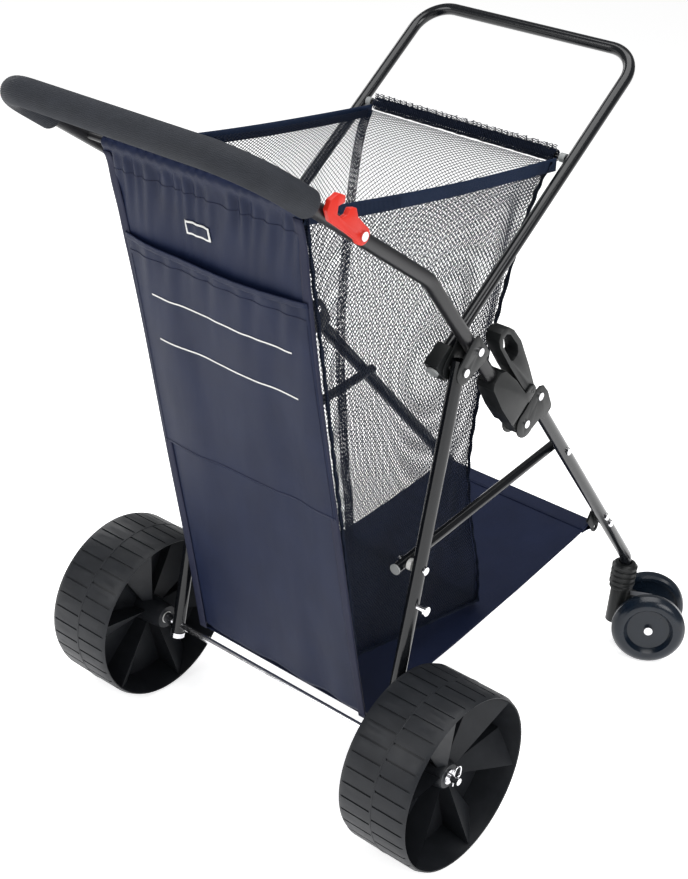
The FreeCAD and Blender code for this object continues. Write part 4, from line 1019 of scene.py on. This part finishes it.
seamHalf = pocketSize["half"] - stitchSize["inset"]
seamLow = pocketSize["low"] - stitchSize["inset"]
mouthSeam = pocketSize["top"] + pocketSize["hem"]
panelStitches = stitchPiece("panelStitches", [
    levelRow(stitchSize["hemHalf"], panelSize["hem"], stitchSize["hemCount"], onPanel),
    levelRow(stitchSize["lowHalf"], seamLow, stitchSize["pocketCount"], onPocket),
    sideRow(-seamHalf),
    sideRow(seamHalf),
    levelRow(stitchSize["mouthHalf"], mouthSeam, stitchSize["mouthCount"], onPocket),
])
shelfRun = shelfLength - barHemSize["lap"] + stitchSize["shelfInset"]
shelfRow = [shelfPoint(k / 50 - 1, shelfRun, stitchSize["shelfLift"]) for k in range(2, 99)]
shelfStitches = stitchPiece("shelfStitches", [shelfRow])
print("stitched")

# the body that carries each piece; the panel and bag pieces only have their placing baked in
hangsFromHandle = [backPanel, backPocket, *panelEdges, pocketHem, patchOuter, patchInner, *stripes,
                   panelStitches, *bagSides, bagFront, *seams, *bands]
for piece in hangsFromHandle:
    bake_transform(piece)
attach(rearTrim, "handle")
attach(frontSleeve, "loop")
for piece in (barHem, shelfStitches):
    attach(piece, "front_legs")
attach(cargoShelf, "rear_frame")
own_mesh(cargoShelf)
for piece in (bagFloor, *floorSeams):
    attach(piece, "rear_frame")
    rearSeam(1).y
    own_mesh(piece)

# floor, light and camera
studioSize = {"reach": 40, "grey": 0.95, "roughness": 0.9, "glow": 0.72, "world": 0.24}
reach, grey = studioSize["reach"], studioSize["grey"]
floorMesh = bpy.data.meshes.new("studioFloor")
corners = [(-reach, -reach, 0), (reach, -reach, 0), (reach, reach, 0), (-reach, reach, 0)]
floorMesh.from_pydata(corners, [], [(0, 1, 2, 3)])
studio = Finish("studioWhite", (grey, grey, grey), studioSize["roughness"],
                Emission_Color=(1, 1, 1, 1), Emission_Strength=studioSize["glow"])
floorObject = newObject("studioFloor", floorMesh, studio.material)

world = bpy.data.worlds.new("studioWorld")
bpy.context.scene.world = world
world.use_nodes = True
backdrop = world.node_tree.nodes["Background"]
backdrop.inputs["Color"].default_value = (1, 1, 1, 1)
backdrop.inputs["Strength"].default_value = studioSize["world"]

lamps = {
    "topPanel": {"place": (0.2, -0.2, 3.2), "aim": (0, 0, 0.4), "size": 2.6, "watts": 75},
    "rightPanel": {"place": (2.8, -0.6, 1.9), "aim": (0, 0, 0.5), "size": 1.6, "watts": 40},
    "rearPanel": {"place": (-1.0, -3.0, 2.1), "aim": (0, -0.2, 0.5), "size": 1.8, "watts": 45},
    "leftPanel": {"place": (-2.9, 0.8, 1.7), "aim": (0, 0, 0.5), "size": 1.4, "watts": 22},
}
for name, lamp in lamps.items():
    light = bpy.data.lights.new(name, "AREA")
    light.size = lamp["size"]
    light.energy = lamp["watts"]
    holder = bpy.data.objects.new(name, light)
    holder.location = lamp["place"]
    facing = Vector(lamp["aim"]) - Vector(lamp["place"])
    holder.rotation_euler = facing.to_track_quat("-Z", "Y").to_euler()
    bpy.context.scene.collection.objects.link(holder)

cameraSize = {"place": (1.30495, datum - 1.80223, 1.40612), "yaw": 38.0505, "pitch": 23.7789,
              "roll": 6.3946, "lens": 69.61, "sensor": 36}
camera = bpy.data.cameras.new("viewCamera")
camera.lens = cameraSize["lens"]
camera.sensor_width = cameraSize["sensor"]
cameraObject = bpy.data.objects.new("viewCamera", camera)
bpy.context.scene.collection.objects.link(cameraObject)
yaw, pitch, roll = (math.radians(cameraSize[k]) for k in ("yaw", "pitch", "roll"))
ahead = Vector((-math.sin(yaw) * math.cos(pitch), math.cos(yaw) * math.cos(pitch), -math.sin(pitch)))
levelRight = Vector((math.cos(yaw), math.sin(yaw), 0))
levelUp = levelRight.cross(ahead)
right = levelRight * math.cos(roll) + levelUp * math.sin(roll)
up = levelUp * math.cos(roll) - levelRight * math.sin(roll)
axes = Matrix((right, up, -ahead)).transposed().to_4x4()
cameraObject.matrix_world = Matrix.Translation(cameraSize["place"]) @ axes
bpy.context.scene.camera = cameraObject
bpy.context.scene.view_settings.view_transform = "Standard"
